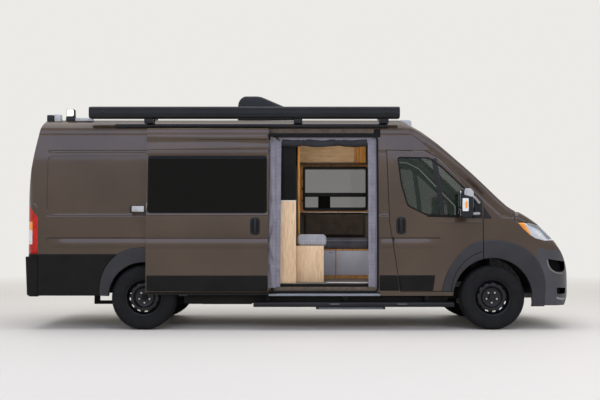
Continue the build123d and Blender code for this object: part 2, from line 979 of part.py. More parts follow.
# door trim: mirror on two arms, handle, rub panel and the part of the flare on the door
mirror_head_x = front(-335)
mirror_head_depth = 120
mirror_head_y = -1172
mirror_head_width = 215
mirror_low = 1284
mirror_high = 1624
mirror_arm_radius = 13
mirror_arm_heights = (1345, 1450)
mirror_base_outline = [(front(-166), 1303), (front(-116), 1303), (front(-116), 1470), (front(-166), 1510)]
handle_plate = (118, 40, 209)
handle_x = front(-1057)
handle_z = 1205
rub_panel_outline = [
    (front(-1064), rub_low),
    (front(-1064), rub_high),
    (front(-664), rub_high),
    (front(-690), rub_low),
]
with BuildPart() as flare_on_door:
    add(front_flare)
    add(front_arch, mode=Mode.SUBTRACT)
    add(across(rub_panel_outline, -split_half_width, -far_out))
    add(grown(front_door_outline, -seat_gap, -split_half_width, -far_out), mode=Mode.INTERSECT)
    add(skin_layer.part, mode=Mode.INTERSECT)
with BuildPart() as door_trim_right:
    add(flare_on_door.part)
    with Locations((handle_x, -half_width - 4, handle_z)):
        Box(*handle_plate)
    with Locations((mirror_head_x, mirror_head_y, (mirror_low + mirror_high) / 2)):
        Box(mirror_head_depth, mirror_head_width, mirror_high - mirror_low)
    add(across(mirror_base_outline, -split_half_width, -half_width - 8))
    for height in mirror_arm_heights:
        arm_root = Vector(front(-142), -half_width + 20, height)
        arm_reach = Vector(mirror_head_x, mirror_head_y + 60, height) - arm_root
        with BuildSketch(Plane(arm_root, z_dir=arm_reach)):
            Circle(mirror_arm_radius)
        extrude(amount=arm_reach.length)
    add(outer, mode=Mode.SUBTRACT)
save(door_trim_right.part, "front_door_right_trim")
save(left(door_trim_right.part), "front_door_left_trim")

# rear doors, each with its window
rear_window_top = roof_height - 510
rear_window = [(-690, 1330), (-110, 1330), (-110, rear_window_top), (-690, rear_window_top)]
with BuildPart() as rear_box:
    add(skinned)
    add(hollow, mode=Mode.SUBTRACT)
    add(
        block(
            tail_end,
            rear(-1050),
            -rear_door_half_width + door_step,
            -panel_gap / 2 - door_step,
            rear_door_bottom + door_step,
            rear_door_top - door_step,
        ),
        mode=Mode.INTERSECT,
    )
with BuildPart() as rear_door_right:
    add(outer)
    add(skinned, mode=Mode.SUBTRACT)
    add(
        block(
            tail_end, rear(-1050), -rear_door_half_width, -panel_gap / 2, rear_door_bottom, rear_door_top
        ),
        mode=Mode.INTERSECT,
    )
    add(rear_box.part)
    add(lengthwise(rear_window, tail_end, rear(-900), rounding=50), mode=Mode.SUBTRACT)
save(rear_door_right.part, "rear_door_right")
save(left(rear_door_right.part), "rear_door_left")

with BuildPart() as rear_glass_right:
    add(groove_floor)
    add(skinned, mode=Mode.SUBTRACT)
    add(lengthwise(rear_window, tail_end, rear(-900), rounding=50), mode=Mode.INTERSECT)
save(rear_glass_right.part, "rear_door_right_glass")
save(left(rear_glass_right.part), "rear_door_left_glass")

# sliding door, slid back outside the body on its three arms
slide_out = 78
with BuildPart() as glass_rebate:
    add(outer)
    add(groove_floor, mode=Mode.SUBTRACT)
    add(across(slid_glass_outline, -split_half_width, -far_out, rounding=40), mode=Mode.INTERSECT)
with BuildPart() as sliding_panel:
    add(shell.part)
    add(across(sliding_door_outline, -split_half_width, -far_out, rounding=25), mode=Mode.INTERSECT)
    add(glass_rebate.part, mode=Mode.SUBTRACT)
    for line in (low_swage, belt_swage, high_swage):
        add(swage(line, tail_end, nose_end), mode=Mode.SUBTRACT)
    add(grown(slid_glass_outline, -55, -split_half_width, -far_out), mode=Mode.SUBTRACT)
with BuildPart() as slid_glass:
    add(outer)
    add(groove_floor, mode=Mode.SUBTRACT)
    add(grown(slid_glass_outline, -seat_gap, -split_half_width, -far_out, rounding=40), mode=Mode.INTERSECT)
sliding_door = sliding_panel.part.moved(Location((0, -slide_out, 0)))
slid_door_front = sliding_door_outline[2][0]
slid_door_rear = sliding_door_outline[0][0]
with BuildPart() as sliding_door_whole:
    add(sliding_door)
    # roller arms: top and foot at the front edge, middle at the rear edge
    for low, high in ((side_opening_top - 78, side_opening_top - 33), (440, 480)):
        with Locations((slid_door_front + 45, -half_width - 30, (low + high) / 2)):
            Box(110, 110, high - low)
    with Locations((slid_door_rear - 60, -half_width - 45, 1395)):
        Box(150, 80, 60)
    add(outer, mode=Mode.SUBTRACT)
save(sliding_door_whole.part, "sliding_door")

# rub panel and handle on the sliding door
slid_panel_inset = 12
slid_panel_outline = [
    (slid_door_rear + slid_panel_inset, rub_low),
    (slid_door_rear + slid_panel_inset, rub_high),
    (slid_door_front - slid_panel_inset, rub_high),
    (slid_door_front - slid_panel_inset, rub_low),
]
slid_handle_x = front(-2745)
slid_handle_z = 1197
with BuildPart() as slid_trim:
    add(across(slid_panel_outline, -split_half_width, -far_out))
    add(skin_layer.part, mode=Mode.INTERSECT)
    with Locations((slid_handle_x, -half_width - 4, slid_handle_z)):
        Box(*handle_plate)
    add(outer, mode=Mode.SUBTRACT)
save(slid_trim.part.moved(Location((0, -slide_out, 0))), "sliding_door_trim")

with BuildPart() as far_glass:
    add(outer)
    add(groove_floor, mode=Mode.SUBTRACT)
    add(grown(far_window_outline, -seat_gap, split_half_width, far_out, rounding=50), mode=Mode.INTERSECT)
with BuildPart() as side_windows:
    add(slid_glass.part.moved(Location((0, -slide_out, 0))))
    add(far_glass.part)
save(side_windows.part, "side_windows")

# wheels
wheel_half_track = wheel_track / 2
wheel_places = [
    ("front_right", front_axle_x, -1),
    ("front_left", front_axle_x, 1),
    ("rear_right", rear_axle_x, -1),
    ("rear_left", rear_axle_x, 1),
]
rim_wall = 14
disc_offset = 48
bolt_circle = 65
spindle_radius = hub_radius - 0.5
with BuildPart() as tyre:
    with BuildSketch(Plane.XY) as tread:
        with Locations(((rim_radius + tyre_radius) / 2, 0)):
            Rectangle(tyre_radius - rim_radius, tyre_width)
        outer_corners = tread.vertices().group_by(Axis.X)[-1]
        fillet(outer_corners, tyre_shoulder)
    revolve(axis=Axis.Y)
with BuildPart() as rim:
    with BuildSketch(Plane.XY):
        with BuildLine():
            Polyline(
                (rim_radius, -rim_width / 2),
                (rim_radius, rim_width / 2),
                (rim_radius - rim_wall, rim_width / 2),
                (rim_radius - rim_wall, disc_offset + rim_wall / 2),
                (110, disc_offset + rim_wall / 2),
                (95, disc_offset - 18),
                (hub_radius, disc_offset - 18),
                (hub_radius, disc_offset - 18 - rim_wall),
                (100, disc_offset - 18 - rim_wall),
                (116, disc_offset - rim_wall / 2),
                (rim_radius - rim_wall, disc_offset - rim_wall / 2),
                (rim_radius - rim_wall, -rim_width / 2),
                close=True,
            )
        make_face()
    revolve(axis=Axis.Y)
    with BuildSketch(Plane.XZ.offset(-disc_offset - rim_wall)):
        with PolarLocations(150, 12):
            SlotOverall(44, 22, rotation=90)
    extrude(amount=2 * rim_wall, mode=Mode.SUBTRACT)
for name, axle_x, side in wheel_places:
    place = Location((axle_x, side * wheel_half_track, wheel_centre_height))
    save(tyre.part.moved(place), f"tyre_{name}")
    turned = rim.part if side > 0 else mirror(rim.part, about=Plane.XZ)
    save(turned.moved(place), f"rim_{name}")

# running gear that carries the wheels
kingpin_y = 800
strut_y = 690
strut_radius = 30
disc_radius = 135
flange_face_y = wheel_half_track + disc_offset - 18 - rim_wall - seat_gap
arm_top = 228
arm_thickness = 16


def hub(side, inboard_face):
    """Brake disc, flange and spindle of one wheel, out to the end of the spindle."""
    centre = (0, wheel_centre_height)
    steps = [
        (disc_radius, 815, 838),
        (60, inboard_face, flange_face_y),
        (spindle_radius, flange_face_y - 1, wheel_half_track + disc_offset + 14),
    ]
    with BuildPart() as spindle:
        for radius, near, far in steps:
            add(roller(*centre, radius, side * near, side * far))
    return spindle.part


for name, axle_x, side in wheel_places[:2]:
    with BuildPart() as knuckle:
        add(hub(side, 760))
        with Locations((0, side * 775, wheel_centre_height)):
            Box(70, 80, 180)
        with Locations((0, side * kingpin_y, arm_top + seat_gap)):
            Box(50, 28, 70, align=(Align.CENTER, Align.CENTER, Align.MIN))
    save(knuckle.part.moved(Location((axle_x, 0, 0))), f"knuckle_{name.split('_')[1]}")

rail_near = 400
rail_far = 470
rail_low = 393
subframe_low = 205
with BuildPart() as front_subframe:
    add(block(front(-180), front(180), -rail_far, rail_far, subframe_low, 270))
    for side in (-1, 1):
        with Locations((front_axle_x, side * (kingpin_y + rail_far) / 2, arm_top - arm_thickness / 2)):
            Box(56, kingpin_y - rail_far + 50, arm_thickness)
        with Locations((front_axle_x, side * (rail_near + rail_far) / 2, (270 + rail_low - seat_gap) / 2)):
            Box(240, rail_far - rail_near, rail_low - seat_gap - 270)
        add(
            post(
                front_axle_x,
                side * strut_y,
                strut_radius,
                arm_top - 1,
                wheel_centre_height + front_arch_radius - 2,
            )
        )
save(front_subframe.part, "front_subframe")

axle_beam = 70
axle_beam_z = 345
spring_y = 590
spring_width = 60
spring_reach = 650
with BuildPart() as rear_axle:
    with Locations((0, 0, axle_beam_z)):
        Box(axle_beam, 2 * 780, axle_beam)
    for side in (-1, 1):
        add(hub(side, 770))
        with Locations((0, side * spring_y, axle_beam_z - axle_beam / 2 - 20)):
            Box(2 * spring_reach, spring_width, 40)
        for end in (-1, 1):
            with Locations((end * (spring_reach - 30), side * spring_y, axle_beam_z - axle_beam / 2 - 40)):
                Box(
                    60,
                    spring_width,
                    load_floor - floor_thickness - seat_gap - (axle_beam_z - axle_beam / 2 - 40),
                    align=(Align.CENTER, Align.CENTER, Align.MIN),
                )
save(rear_axle.part.moved(Location((rear_axle_x, 0, 0))), "rear_axle")

# rails, fuel tank and exhaust under the floor
floor_underside = load_floor - floor_thickness - seat_gap
tank_bottom = 262
with BuildPart() as tank:
    with Locations((front(-1100), 720, tank_bottom)):
        Box(900, 400, floor_underside - tank_bottom, align=(Align.CENTER, Align.CENTER, Align.MIN))
    fillet(tank.edges().filter_by(Axis.Z), 40)
    fillet(tank.faces().sort_by(Axis.Z)[0].edges(), 30)
with BuildPart() as underbody:
    for side in (-1, 1):
        with Locations((rear(-1270), side * (rail_near + rail_far) / 2, rail_low)):
            Box(
                front(840) - rear(-1270),
                rail_far - rail_near,
                floor_underside - rail_low,
                align=(Align.MIN, Align.CENTER, Align.MIN),
            )
    add(tank.part)
    with Locations((rear(900), -120, 330)):
        Cylinder(100, 620, rotation=(0, 90, 0))
    with Locations((rear(1750), -120, 330)):
        Cylinder(28, 1100, rotation=(0, 90, 0))
    with Locations((rear(900), -120, 420)):
        Box(60, 40, floor_underside - 420, align=(Align.CENTER, Align.CENTER, Align.MIN))
save(underbody.part, "underbody")

# engine and gearbox as one plain block between the rails
with BuildPart() as engine_block:
    add(block(front(40), front(600), -rail_near + seat_gap, rail_near - seat_gap, 330, 1020))
save(engine_block.part, "engine_block")

# running board along the sill with a folded step under it
board_outer = -1100
board_inner = -962
with BuildPart() as running_board:
    add(block(front(-2764), front(-460), board_outer, board_inner, 269, 324))
    fillet(running_board.edges().filter_by(Axis.X), 14)
    for x in (front(-2600), front(-1700), front(-760)):
        with Locations((x, -970, 300)):
            Box(60, 60, body_bottom - seat_gap - 300, align=(Align.CENTER, Align.CENTER, Align.MIN))
    add(block(front(-2046), front(-1246), board_outer + 25, board_inner + 10, 240, 275))
save(running_board.part, "running_board")

# awning cassette on three brackets along the edge of the roof
awning_rear = front(-4678)
awning_front = front(-1069)
awning_low = roof_height - 69
awning_high = roof_height + 66
awning_outer = -1050
awning_inner = -925
with BuildPart() as awning:
    with BuildSketch(Plane.YZ.offset(awning_rear)) as cassette:
        with BuildLine():
            Polyline(
                (awning_inner, awning_low),
                (awning_outer + 20, awning_low),
                (awning_outer, awning_low + 40),
                (awning_outer, awning_high - 25),
                (awning_outer + 25, awning_high),
                (awning_inner, awning_high - 12),
                close=True,
            )
        make_face()
        fillet(cassette.vertices(), 12)
    extrude(amount=awning_front - awning_rear)
    for x in (front(-3991), front(-2251), front(-1246)):
        with Locations((x, -975, awning_low + 12)):
            Box(105, 60, 70, align=(Align.CENTER, Align.CENTER, Align.MAX))
        with Locations((x, -790, awning_low + 12)):
            Box(105, 430, 14, align=(Align.CENTER, Align.CENTER, Align.MAX))
        with Locations((x, -610, awning_low + 5)):
            Box(105, 70, 140, align=(Align.CENTER, Align.CENTER, Align.CENTER))
    add(outer, mode=Mode.SUBTRACT)
    add(block(tail_end, nose_end, -far_out, far_out, 0, roof_joint - 15), mode=Mode.SUBTRACT)
save(awning.part, "awning")

# rails along both roof edges, lamps at the rear and front of the roof
with BuildPart() as roof_rails:
    for side in (-1, 1):
        with Locations((front(-2796), side * 930, roof_joint - 3)):
            Box(front(-1206) - front(-4386), 60, 36)
    for x, y, length, width, top in (
        (rear(-1054), -790, 108, 120, roof_height + 27),
        (rear(-900), -790, 104, 150, roof_height + 60),
        (rear(-900), 790, 104, 150, roof_height + 60),
        (front(-990), -760, 165, 90, roof_height - 58),
        (front(-990), 760, 165, 90, roof_height - 58),
    ):
        with Locations((x, y, top)):
            Box(length, width, 260, align=(Align.CENTER, Align.CENTER, Align.MAX))
    add(outer, mode=Mode.SUBTRACT)
    add(block(tail_end, nose_end, -far_out, far_out, 0, roof_joint - 21), mode=Mode.SUBTRACT)
    add(block(tail_end, nose_end, -700, 700, 0, sky), mode=Mode.SUBTRACT)
save(roof_rails.part, "roof_rails")

# roof air unit: high at the back, sloping to the front
with BuildPart() as roof_unit:
    with BuildSketch(Plane.XZ.offset(-340)) as dome:
        with BuildLine():
            Polyline(
                (front(-3006), roof_height - 40),
                (front(-2990), roof_height + 220),
                (front(-2930), roof_height + 288),
                (front(-2720), roof_height + 288),
                (front(-2262), roof_height + 90),
                (front(-2236), roof_height - 40),
                close=True,
            )
        make_face()
        fillet(dome.vertices().group_by(Axis.Y)[1:], 30)
    extrude(amount=680)
    fillet(roof_unit.faces().sort_by(Axis.Z)[-1].edges().filter_by(Axis.X), 40)
    add(outer, mode=Mode.SUBTRACT)
save(roof_unit.part, "roof_unit")

# dashboard with its steering wheel on the left
wheel_hub = (front(-560), 430, 1130)
with BuildPart() as dashboard:
    with BuildSketch(Plane.XZ.offset(-925)) as dash:
        with BuildLine():
            Polyline(
                (bulkhead_x - seat_gap, 860),
                (bulkhead_x - seat_gap, 1300),
                (front(-190), 1262),
                (front(-380), 1205),
                (front(-450), 1120),
                (front(-420), 960),
                (front(-370), 860),
                close=True,
            )
        make_face()
        fillet(dash.vertices().sort_by(Axis.X)[:4], 25)
    extrude(amount=1850)
    with BuildSketch(Plane(wheel_hub, x_dir=(0, 1, 0), z_dir=(0.75, 0, -0.66))):
        Circle(28)
    extrude(amount=260)
    with BuildSketch(Plane(wheel_hub, x_dir=(0, 1, 0), z_dir=(0.75, 0, -0.66))):
        Circle(52)
        Rectangle(380, 34)
    extrude(amount=24)
    with BuildSketch(Plane(wheel_hub, x_dir=(0, 1, 0), z_dir=(0.75, 0, -0.66))):
        Circle(200)
        Circle(172, mode=Mode.SUBTRACT)
    extrude(amount=26)
    add(hollow, mode=Mode.INTERSECT)
save(dashboard.part, "dashboard")

# cab seats on their plinths
seat_y = 430
seat_width = 500
with BuildPart() as cab_seats:
    for side in (-1, 1):
        with Locations((front(-900), side * seat_y, load_floor + seat_gap)):
            Box(440, 400, 280, align=(Align.CENTER, Align.CENTER, Align.MIN))
        with BuildSketch(Plane.XZ.offset(-side * seat_y - seat_width / 2)) as seat:
            with BuildLine():
                Polyline(
                    (front(-640), 810),
                    (front(-620), 905),
                    (front(-1080), 935),
                    (front(-1210), 1560),
                    (front(-1320), 1540),
                    (front(-1210), 810),
                    close=True,
                )
            make_face()
            fillet(seat.vertices(), 35)
        extrude(amount=seat_width)
        with Locations((front(-1285), side * seat_y, 1610)):
            Box(90, 270, 210)
save(cab_seats.part, "cab_seats")

# kitchen unit behind the side door, with a dark board standing in a notch of its top
kitchen_top = 1520
board_foot = kitchen_top - 30
board_face = -864
with BuildPart() as tall_board:
    add(block(front(-2476), front(-2275), -895, board_face, board_foot + seat_gap, roof_height - 380))
with BuildPart() as kitchen_unit:
    add(block(front(-3486), front(-2275), -895, -430, load_floor + seat_gap, kitchen_top))
    add(
        block(
            front(-2476) - seat_gap,
            front(-2274),
            -896,
            board_face + seat_gap,
            board_foot,
            kitchen_top + 1,
        ),
        mode=Mode.SUBTRACT,
    )
    add(tall_board.part)
save(kitchen_unit.part, "kitchen_unit")

# floor covering laid round the furniture
covering_thickness = 6
with BuildPart() as floor_covering:
    with BuildSketch(Plane.XY.offset(load_floor + seat_gap)):
        with BuildLine():
            Polyline(
                (front(-3516), -425),
                (front(-2281), -425),
                (front(-2281), -222),
                (front(-2184), -222),
                (front(-2184), -295),
                (front(-1941), -295),
                (front(-1941), -745),
                (front(-2268), -745),
                (front(-2268), -915),
                (front(-1156), -915),
                (front(-1156), 915),
                (front(-1334), 915),
                (front(-1334), 45),
                (front(-2186), 45),
                (front(-2186), 915),
                (front(-3516), 915),
                close=True,
            )
        make_face()
    extrude(amount=covering_thickness)
save(floor_covering.part, "floor_covering")

# bench by the door, bench with drawers on the far side, and the post between them
bench_top = 966
far_bench_top = 914
with BuildPart() as bench_boxes:
    add(block(front(-2275) + seat_gap, front(-1946), -740, -300, load_floor + seat_gap, bench_top))
    add(block(front(-2180), front(-1340), 50, 925, load_floor + seat_gap, far_bench_top))
    add(block(front(-2266), front(-2190), -290, -230, load_floor + seat_gap, roof_height - 120))
    add(hollow, mode=Mode.INTERSECT)
save(bench_boxes.part, "bench_boxes")

# cushions, as (x from, x to, y from, y to, z from, z to)
cushion_rounding = 25
cushion_places = [
    (front(-2274), front(-1896), -740, -300, bench_top + seat_gap, 1104),
    (front(-2180), front(-1340), 50, 860, far_bench_top + seat_gap, 1060),
    (front(-2180), front(-1340), 865, 990, 1066, 1393),
]


def cushion(corners):
    with BuildPart() as pad:
        add(block(*corners))
        fillet(pad.edges(), cushion_rounding)
    return pad.part


with BuildPart() as seat_cushions:
    for corners in cushion_places:
        add(cushion(corners))
    add(hollow, mode=Mode.INTERSECT)
save(seat_cushions.part, "seat_cushions")

cabinet_low = roof_height - 474
with BuildPart() as overhead_cabinet:
    add(block(front(-2241), front(-1510), 500, 925, cabinet_low, roof_height - 20))
    add(block(front(-1510) + seat_gap, front(-1360), 520, 925, cabinet_low, roof_height - 20))
    add(hollow, mode=Mode.INTERSECT)
save(overhead_cabinet.part, "overhead_cabinet")

# fabric surround hanging in the side door opening
screen_inset = 26
screen_thickness = 10
screen_side = 122
screen_bottom = 497
with BuildPart() as surround:
    add(grown(side_opening_outline, -seat_gap, -split_half_width, -far_out, rounding=60))
    add(block(tail_end, nose_end, -far_out, 0, 0, screen_bottom), mode=Mode.SUBTRACT)
    add(
        block(
            side_opening_rear + screen_side,
            side_opening_front - screen_side,
            -far_out,
            -split_half_width,
            0,
            side_opening_top - 78,
        ),
        mode=Mode.SUBTRACT,
    )
with BuildPart() as door_screen:
    add(section(screen_inset, side_opening_rear, side_opening_front))
    add(section(screen_inset + screen_thickness, side_opening_rear, side_opening_front), mode=Mode.SUBTRACT)
    add(surround.part, mode=Mode.INTERSECT)
save(door_screen.part, "door_screen")

# bed across the back on two boards, with its mattress
bed_top = 1040
with BuildPart() as bed_platform:
    add(block(rear(-1230), rear(500), -far_out, far_out, bed_top - 30, bed_top))
    for side in (-1, 1):
        with Locations((rear(-365), side * 560, load_floor + seat_gap)):
            Box(1700, 30, bed_top - 29 - load_floor, align=(Align.CENTER, Align.CENTER, Align.MIN))
    add(hollow, mode=Mode.INTERSECT)
save(bed_platform.part, "bed_platform")

with BuildPart() as mattress:
    add(block(rear(-1200), rear(490), -900, 900, bed_top + seat_gap, bed_top + 150))
    fillet(mattress.edges().filter_by(Axis.Z), 60)
    fillet(mattress.faces().filter_by(Axis.Z).edges(), 25)
save(mattress.part, "mattress")
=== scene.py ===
import math
from contextlib import contextmanager

import bmesh
import bpy
from mathutils import Matrix, Vector
from mathutils.bvhtree import BVHTree


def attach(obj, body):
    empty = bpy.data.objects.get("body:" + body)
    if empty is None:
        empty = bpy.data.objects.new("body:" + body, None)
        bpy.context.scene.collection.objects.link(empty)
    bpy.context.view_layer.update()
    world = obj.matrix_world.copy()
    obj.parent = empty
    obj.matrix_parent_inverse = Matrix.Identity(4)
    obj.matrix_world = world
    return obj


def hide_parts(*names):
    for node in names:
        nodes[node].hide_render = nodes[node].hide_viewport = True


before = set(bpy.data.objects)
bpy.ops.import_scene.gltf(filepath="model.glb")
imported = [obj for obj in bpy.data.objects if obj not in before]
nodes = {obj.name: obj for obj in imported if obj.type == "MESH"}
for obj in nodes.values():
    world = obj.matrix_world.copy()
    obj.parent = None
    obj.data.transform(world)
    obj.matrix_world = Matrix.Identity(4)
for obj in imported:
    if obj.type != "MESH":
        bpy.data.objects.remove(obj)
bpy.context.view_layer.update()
print("frame loaded:", len(nodes), "CAD pieces")

# places on the van, in metres
frontAxle = 2.216
rearAxle = -1.82
wheelHeight = 0.372
halfTrack = 0.895
slideOut = 0.078
right, left = -1, 1
sides = ((right, "Right"), (left, "Left"))


def circleThrough(a, b, c):
    double = 2 * (a[0] * (b[1] - c[1]) + b[0] * (c[1] - a[1]) + c[0] * (a[1] - b[1]))
    squares = [p[0] ** 2 + p[1] ** 2 for p in (a, b, c)]
    centreY = (squares[0] * (b[1] - c[1]) + squares[1] * (c[1] - a[1]) + squares[2] * (a[1] - b[1])) / double
    centreZ = (squares[0] * (c[0] - b[0]) + squares[1] * (a[0] - c[0]) + squares[2] * (b[0] - a[0])) / double
    return centreY, centreZ, math.hypot(a[0] - centreY, a[1] - centreZ)


shoulderFoot = (0.945, 2.26)
flankArc = circleThrough((0.985, 0.27), (1.012, 1.1), shoulderFoot)  # sill, waist and shoulder
shoulderArc = circleThrough(shoulderFoot, (0.905, 2.385), (0.79, 2.452))


def flankY(z):
    centreY, centreZ, radius = shoulderArc if z > shoulderFoot[1] else flankArc
    return centreY + math.sqrt(max(radius**2 - (z - centreZ) ** 2, 0))


def linear(hexColour):
    channels = [int(hexColour[i : i + 2], 16) / 255 for i in (1, 3, 5)]
    return [c / 12.92 if c <= 0.04045 else ((c + 0.055) / 1.055) ** 2.4 for c in channels] + [1.0]


def addNode(tree, kind, settings=None, links=None, stops=()):
    made = tree.nodes.new(kind)
    for key, value in (settings or {}).items():
        if isinstance(key, int) or key in made.inputs:
            made.inputs[key].default_value = value
        else:
            setattr(made, key, value)
    for key, source in (links or {}).items():
        tree.links.new(source, made.inputs[key])
    for i, (place, hexColour) in enumerate(stops):
        element = made.color_ramp.elements[i] if i < 2 else made.color_ramp.elements.new(place)
        element.position, element.color = place, linear(hexColour)
    return made


def newMaterial(name, sockets):
    material = bpy.data.materials.new(name)
    material.use_nodes = True
    tree = material.node_tree
    shader = tree.nodes["Principled BSDF"]
    for key, value in sockets.items():
        shader.inputs[key.replace("_", " ")].default_value = linear(value) if isinstance(value, str) else value
    place = addNode(tree, "ShaderNodeTexCoord").outputs["Object"]
    return material, tree, shader, place


# a finish with cloudy colour and roughness and a fine bump; patches and grain are sizes in millimetres
def cloudyFinish(
    name, dark, light, patches, grain=0.0, depth=0.0, rough=(0.4, 0.5), stretch=(1, 1, 1), specular=0.5, **sockets
):
    material, tree, shader, place = newMaterial(name, {"Specular IOR Level": specular, **sockets})
    stretched = addNode(tree, "ShaderNodeMapping", {"Scale": stretch}, {"Vector": place}).outputs["Vector"]
    cloud = addNode(tree, "ShaderNodeTexNoise", {"Scale": 1000 / patches, "Detail": 5.0}, {"Vector": stretched})
    tones = addNode(
        tree, "ShaderNodeValToRGB", links={"Fac": cloud.outputs["Fac"]}, stops=[(0.32, dark), (0.68, light)]
    )
    tree.links.new(tones.outputs["Color"], shader.inputs["Base Color"])
    span = addNode(
        tree, "ShaderNodeMapRange", {"To Min": rough[0], "To Max": rough[1]}, {"Value": cloud.outputs["Fac"]}
    )
    tree.links.new(span.outputs["Result"], shader.inputs["Roughness"])
    if depth:
        fine = addNode(tree, "ShaderNodeTexNoise", {"Scale": 1000 / grain, "Detail": 3.0}, {"Vector": stretched})
        bump = addNode(
            tree, "ShaderNodeBump", {"Distance": depth / 1000, "Strength": 0.8}, {"Height": fine.outputs["Fac"]}
        )
        tree.links.new(bump.outputs["Normal"], shader.inputs["Normal"])
    return material


# cloth: two crossing sets of threads, thread spacing in millimetres, drawn coarser than it is where it would not show
def wovenFinish(name, dark, light, thread, depth, rough=0.9, **sockets):
    material, tree, shader, place = newMaterial(name, sockets)
    shader.inputs["Roughness"].default_value = rough
    heights = []
    for direction in ("X", "Z"):
        wave = addNode(
            tree,
            "ShaderNodeTexWave",
            {"bands_direction": direction, "Scale": 1000 / thread / 20, "Distortion": 0.6, "Detail": 1.0},
            {"Vector": place},
        )
        heights.append(wave.outputs["Fac"])
    both = addNode(tree, "ShaderNodeMath", {"operation": "ADD"}, {0: heights[0], 1: heights[1]}).outputs["Value"]
    half = addNode(tree, "ShaderNodeMath", {"operation": "MULTIPLY", 1: 0.5}, {0: both}).outputs["Value"]
    cloud = addNode(tree, "ShaderNodeTexNoise", {"Scale": 9.0, "Detail": 4.0}, {"Vector": place}).outputs["Fac"]
    mixed = addNode(tree, "ShaderNodeMath", {"operation": "MULTIPLY"}, {0: half, 1: cloud}).outputs["Value"]
    tones = addNode(tree, "ShaderNodeValToRGB", links={"Fac": mixed}, stops=[(0.05, dark), (0.45, light)])
    tree.links.new(tones.outputs["Color"], shader.inputs["Base Color"])
    bump = addNode(tree, "ShaderNodeBump", {"Distance": depth / 1000, "Strength": 0.7}, {"Height": half})
    tree.links.new(bump.outputs["Normal"], shader.inputs["Normal"])
    return material


# timber and ply: grain drawn out along Z or X, with darker growth lines
def woodFinish(name, dark, mid, light, along="Z", rough=(0.42, 0.55), lineWidth=14):
    material, tree, shader, place = newMaterial(name, {"Coat Weight": 0.15, "Coat Roughness": 0.3})
    squeeze = {"Z": (1, 1, 0.07), "X": (0.07, 1, 1), "Y": (1, 0.07, 1)}[along]
    drawn = addNode(tree, "ShaderNodeMapping", {"Scale": squeeze}, {"Vector": place}).outputs["Vector"]
    fibre = addNode(tree, "ShaderNodeTexNoise", {"Scale": 160.0, "Detail": 6.0}, {"Vector": drawn}).outputs["Fac"]
    growth = addNode(
        tree, "ShaderNodeTexNoise", {"Scale": 1000 / lineWidth, "Detail": 2.0, "Distortion": 1.2}, {"Vector": drawn}
    ).outputs["Fac"]
    both = addNode(
        tree, "ShaderNodeMath", {"operation": "MULTIPLY_ADD", 1: 0.35}, {0: fibre, 2: growth}
    ).outputs["Value"]
    tones = addNode(tree, "ShaderNodeValToRGB", links={"Fac": both}, stops=[(0.45, dark), (0.62, mid), (0.8, light)])
    tree.links.new(tones.outputs["Color"], shader.inputs["Base Color"])
    span = addNode(tree, "ShaderNodeMapRange", {"To Min": rough[0], "To Max": rough[1]}, {"Value": fibre})
    tree.links.new(span.outputs["Result"], shader.inputs["Roughness"])
    bump = addNode(tree, "ShaderNodeBump", {"Distance": 0.0004, "Strength": 0.4}, {"Height": fibre})
    tree.links.new(bump.outputs["Normal"], shader.inputs["Normal"])
    return material


# clear or tinted glass: thin panes, so it is see-through by its opacity, with faint dust in its roughness
def glassFinish(name, tint, opacity, rough=0.02, ior=1.5):
    material, tree, shader, place = newMaterial(name, {"Base Color": tint, "Alpha": opacity, "IOR": ior})
    dust = addNode(tree, "ShaderNodeTexNoise", {"Scale": 14.0, "Detail": 5.0}, {"Vector": place}).outputs["Fac"]
    span = addNode(tree, "ShaderNodeMapRange", {"To Min": rough, "To Max": rough + 0.03}, {"Value": dust})
    tree.links.new(span.outputs["Result"], shader.inputs["Roughness"])
    return material


# automotive base coat and clear coat, sprayed: warm grey with aluminium flake under a deep gloss
bodyPaint = cloudyFinish(
    "metallicBaseCoatPaint", "#3e3127", "#4c3d30", 900, 1.6, 0.02, (0.3, 0.38), Metallic=0.3, specular=0.12,
    Coat_Weight=0.75, Coat_Roughness=0.08
)
# polypropylene moulding, grained tool: dull black-brown that greys where light rakes it
grainedPlastic = cloudyFinish("grainedPolypropylene", "#0f0e0d", "#181614", 260, 2.5, 0.25, (0.5, 0.62), specular=0.14)
flarePlastic = cloudyFinish("satinPolypropylene", "#1c1c1f", "#27272b", 260, 2.5, 0.2, (0.42, 0.52), specular=0.42)
bumperPlastic = cloudyFinish("greyPolypropylene", "#34343a", "#404046", 260, 2.5, 0.2, (0.36, 0.46), specular=0.5)
# paler grey for the lips round the bumper openings: a painted highlight, standing in for the light caught along their
# edge
lipPaintedHighlight = cloudyFinish("greyPolypropyleneLipPaintedHighlight", "#66625f", "#797572", 260, 2.5, 0.2, (0.42, 0.52), specular=0.42)
# ABS moulding, fine satin: handles, mirror shells and wiper arms
satinPlastic = cloudyFinish("satinAbs", "#0d0e10", "#15161a", 180, 3.0, 0.06, (0.34, 0.44), specular=0.3)
paleShell = cloudyFinish("silverGreyAbs", "#9b9c9e", "#b4b4b5", 120, 2.0, 0.04, (0.3, 0.4), Coat_Weight=0.3)
liningBoard = cloudyFinish("feltLiningBoard", "#57524b", "#68625a", 300, 3.0, 0.3, (0.8, 0.95))
ceilingBoard = cloudyFinish("vinylCeilingBoard", "#b9b3a8", "#c9c4ba", 400, 3.0, 0.1, (0.6, 0.7))
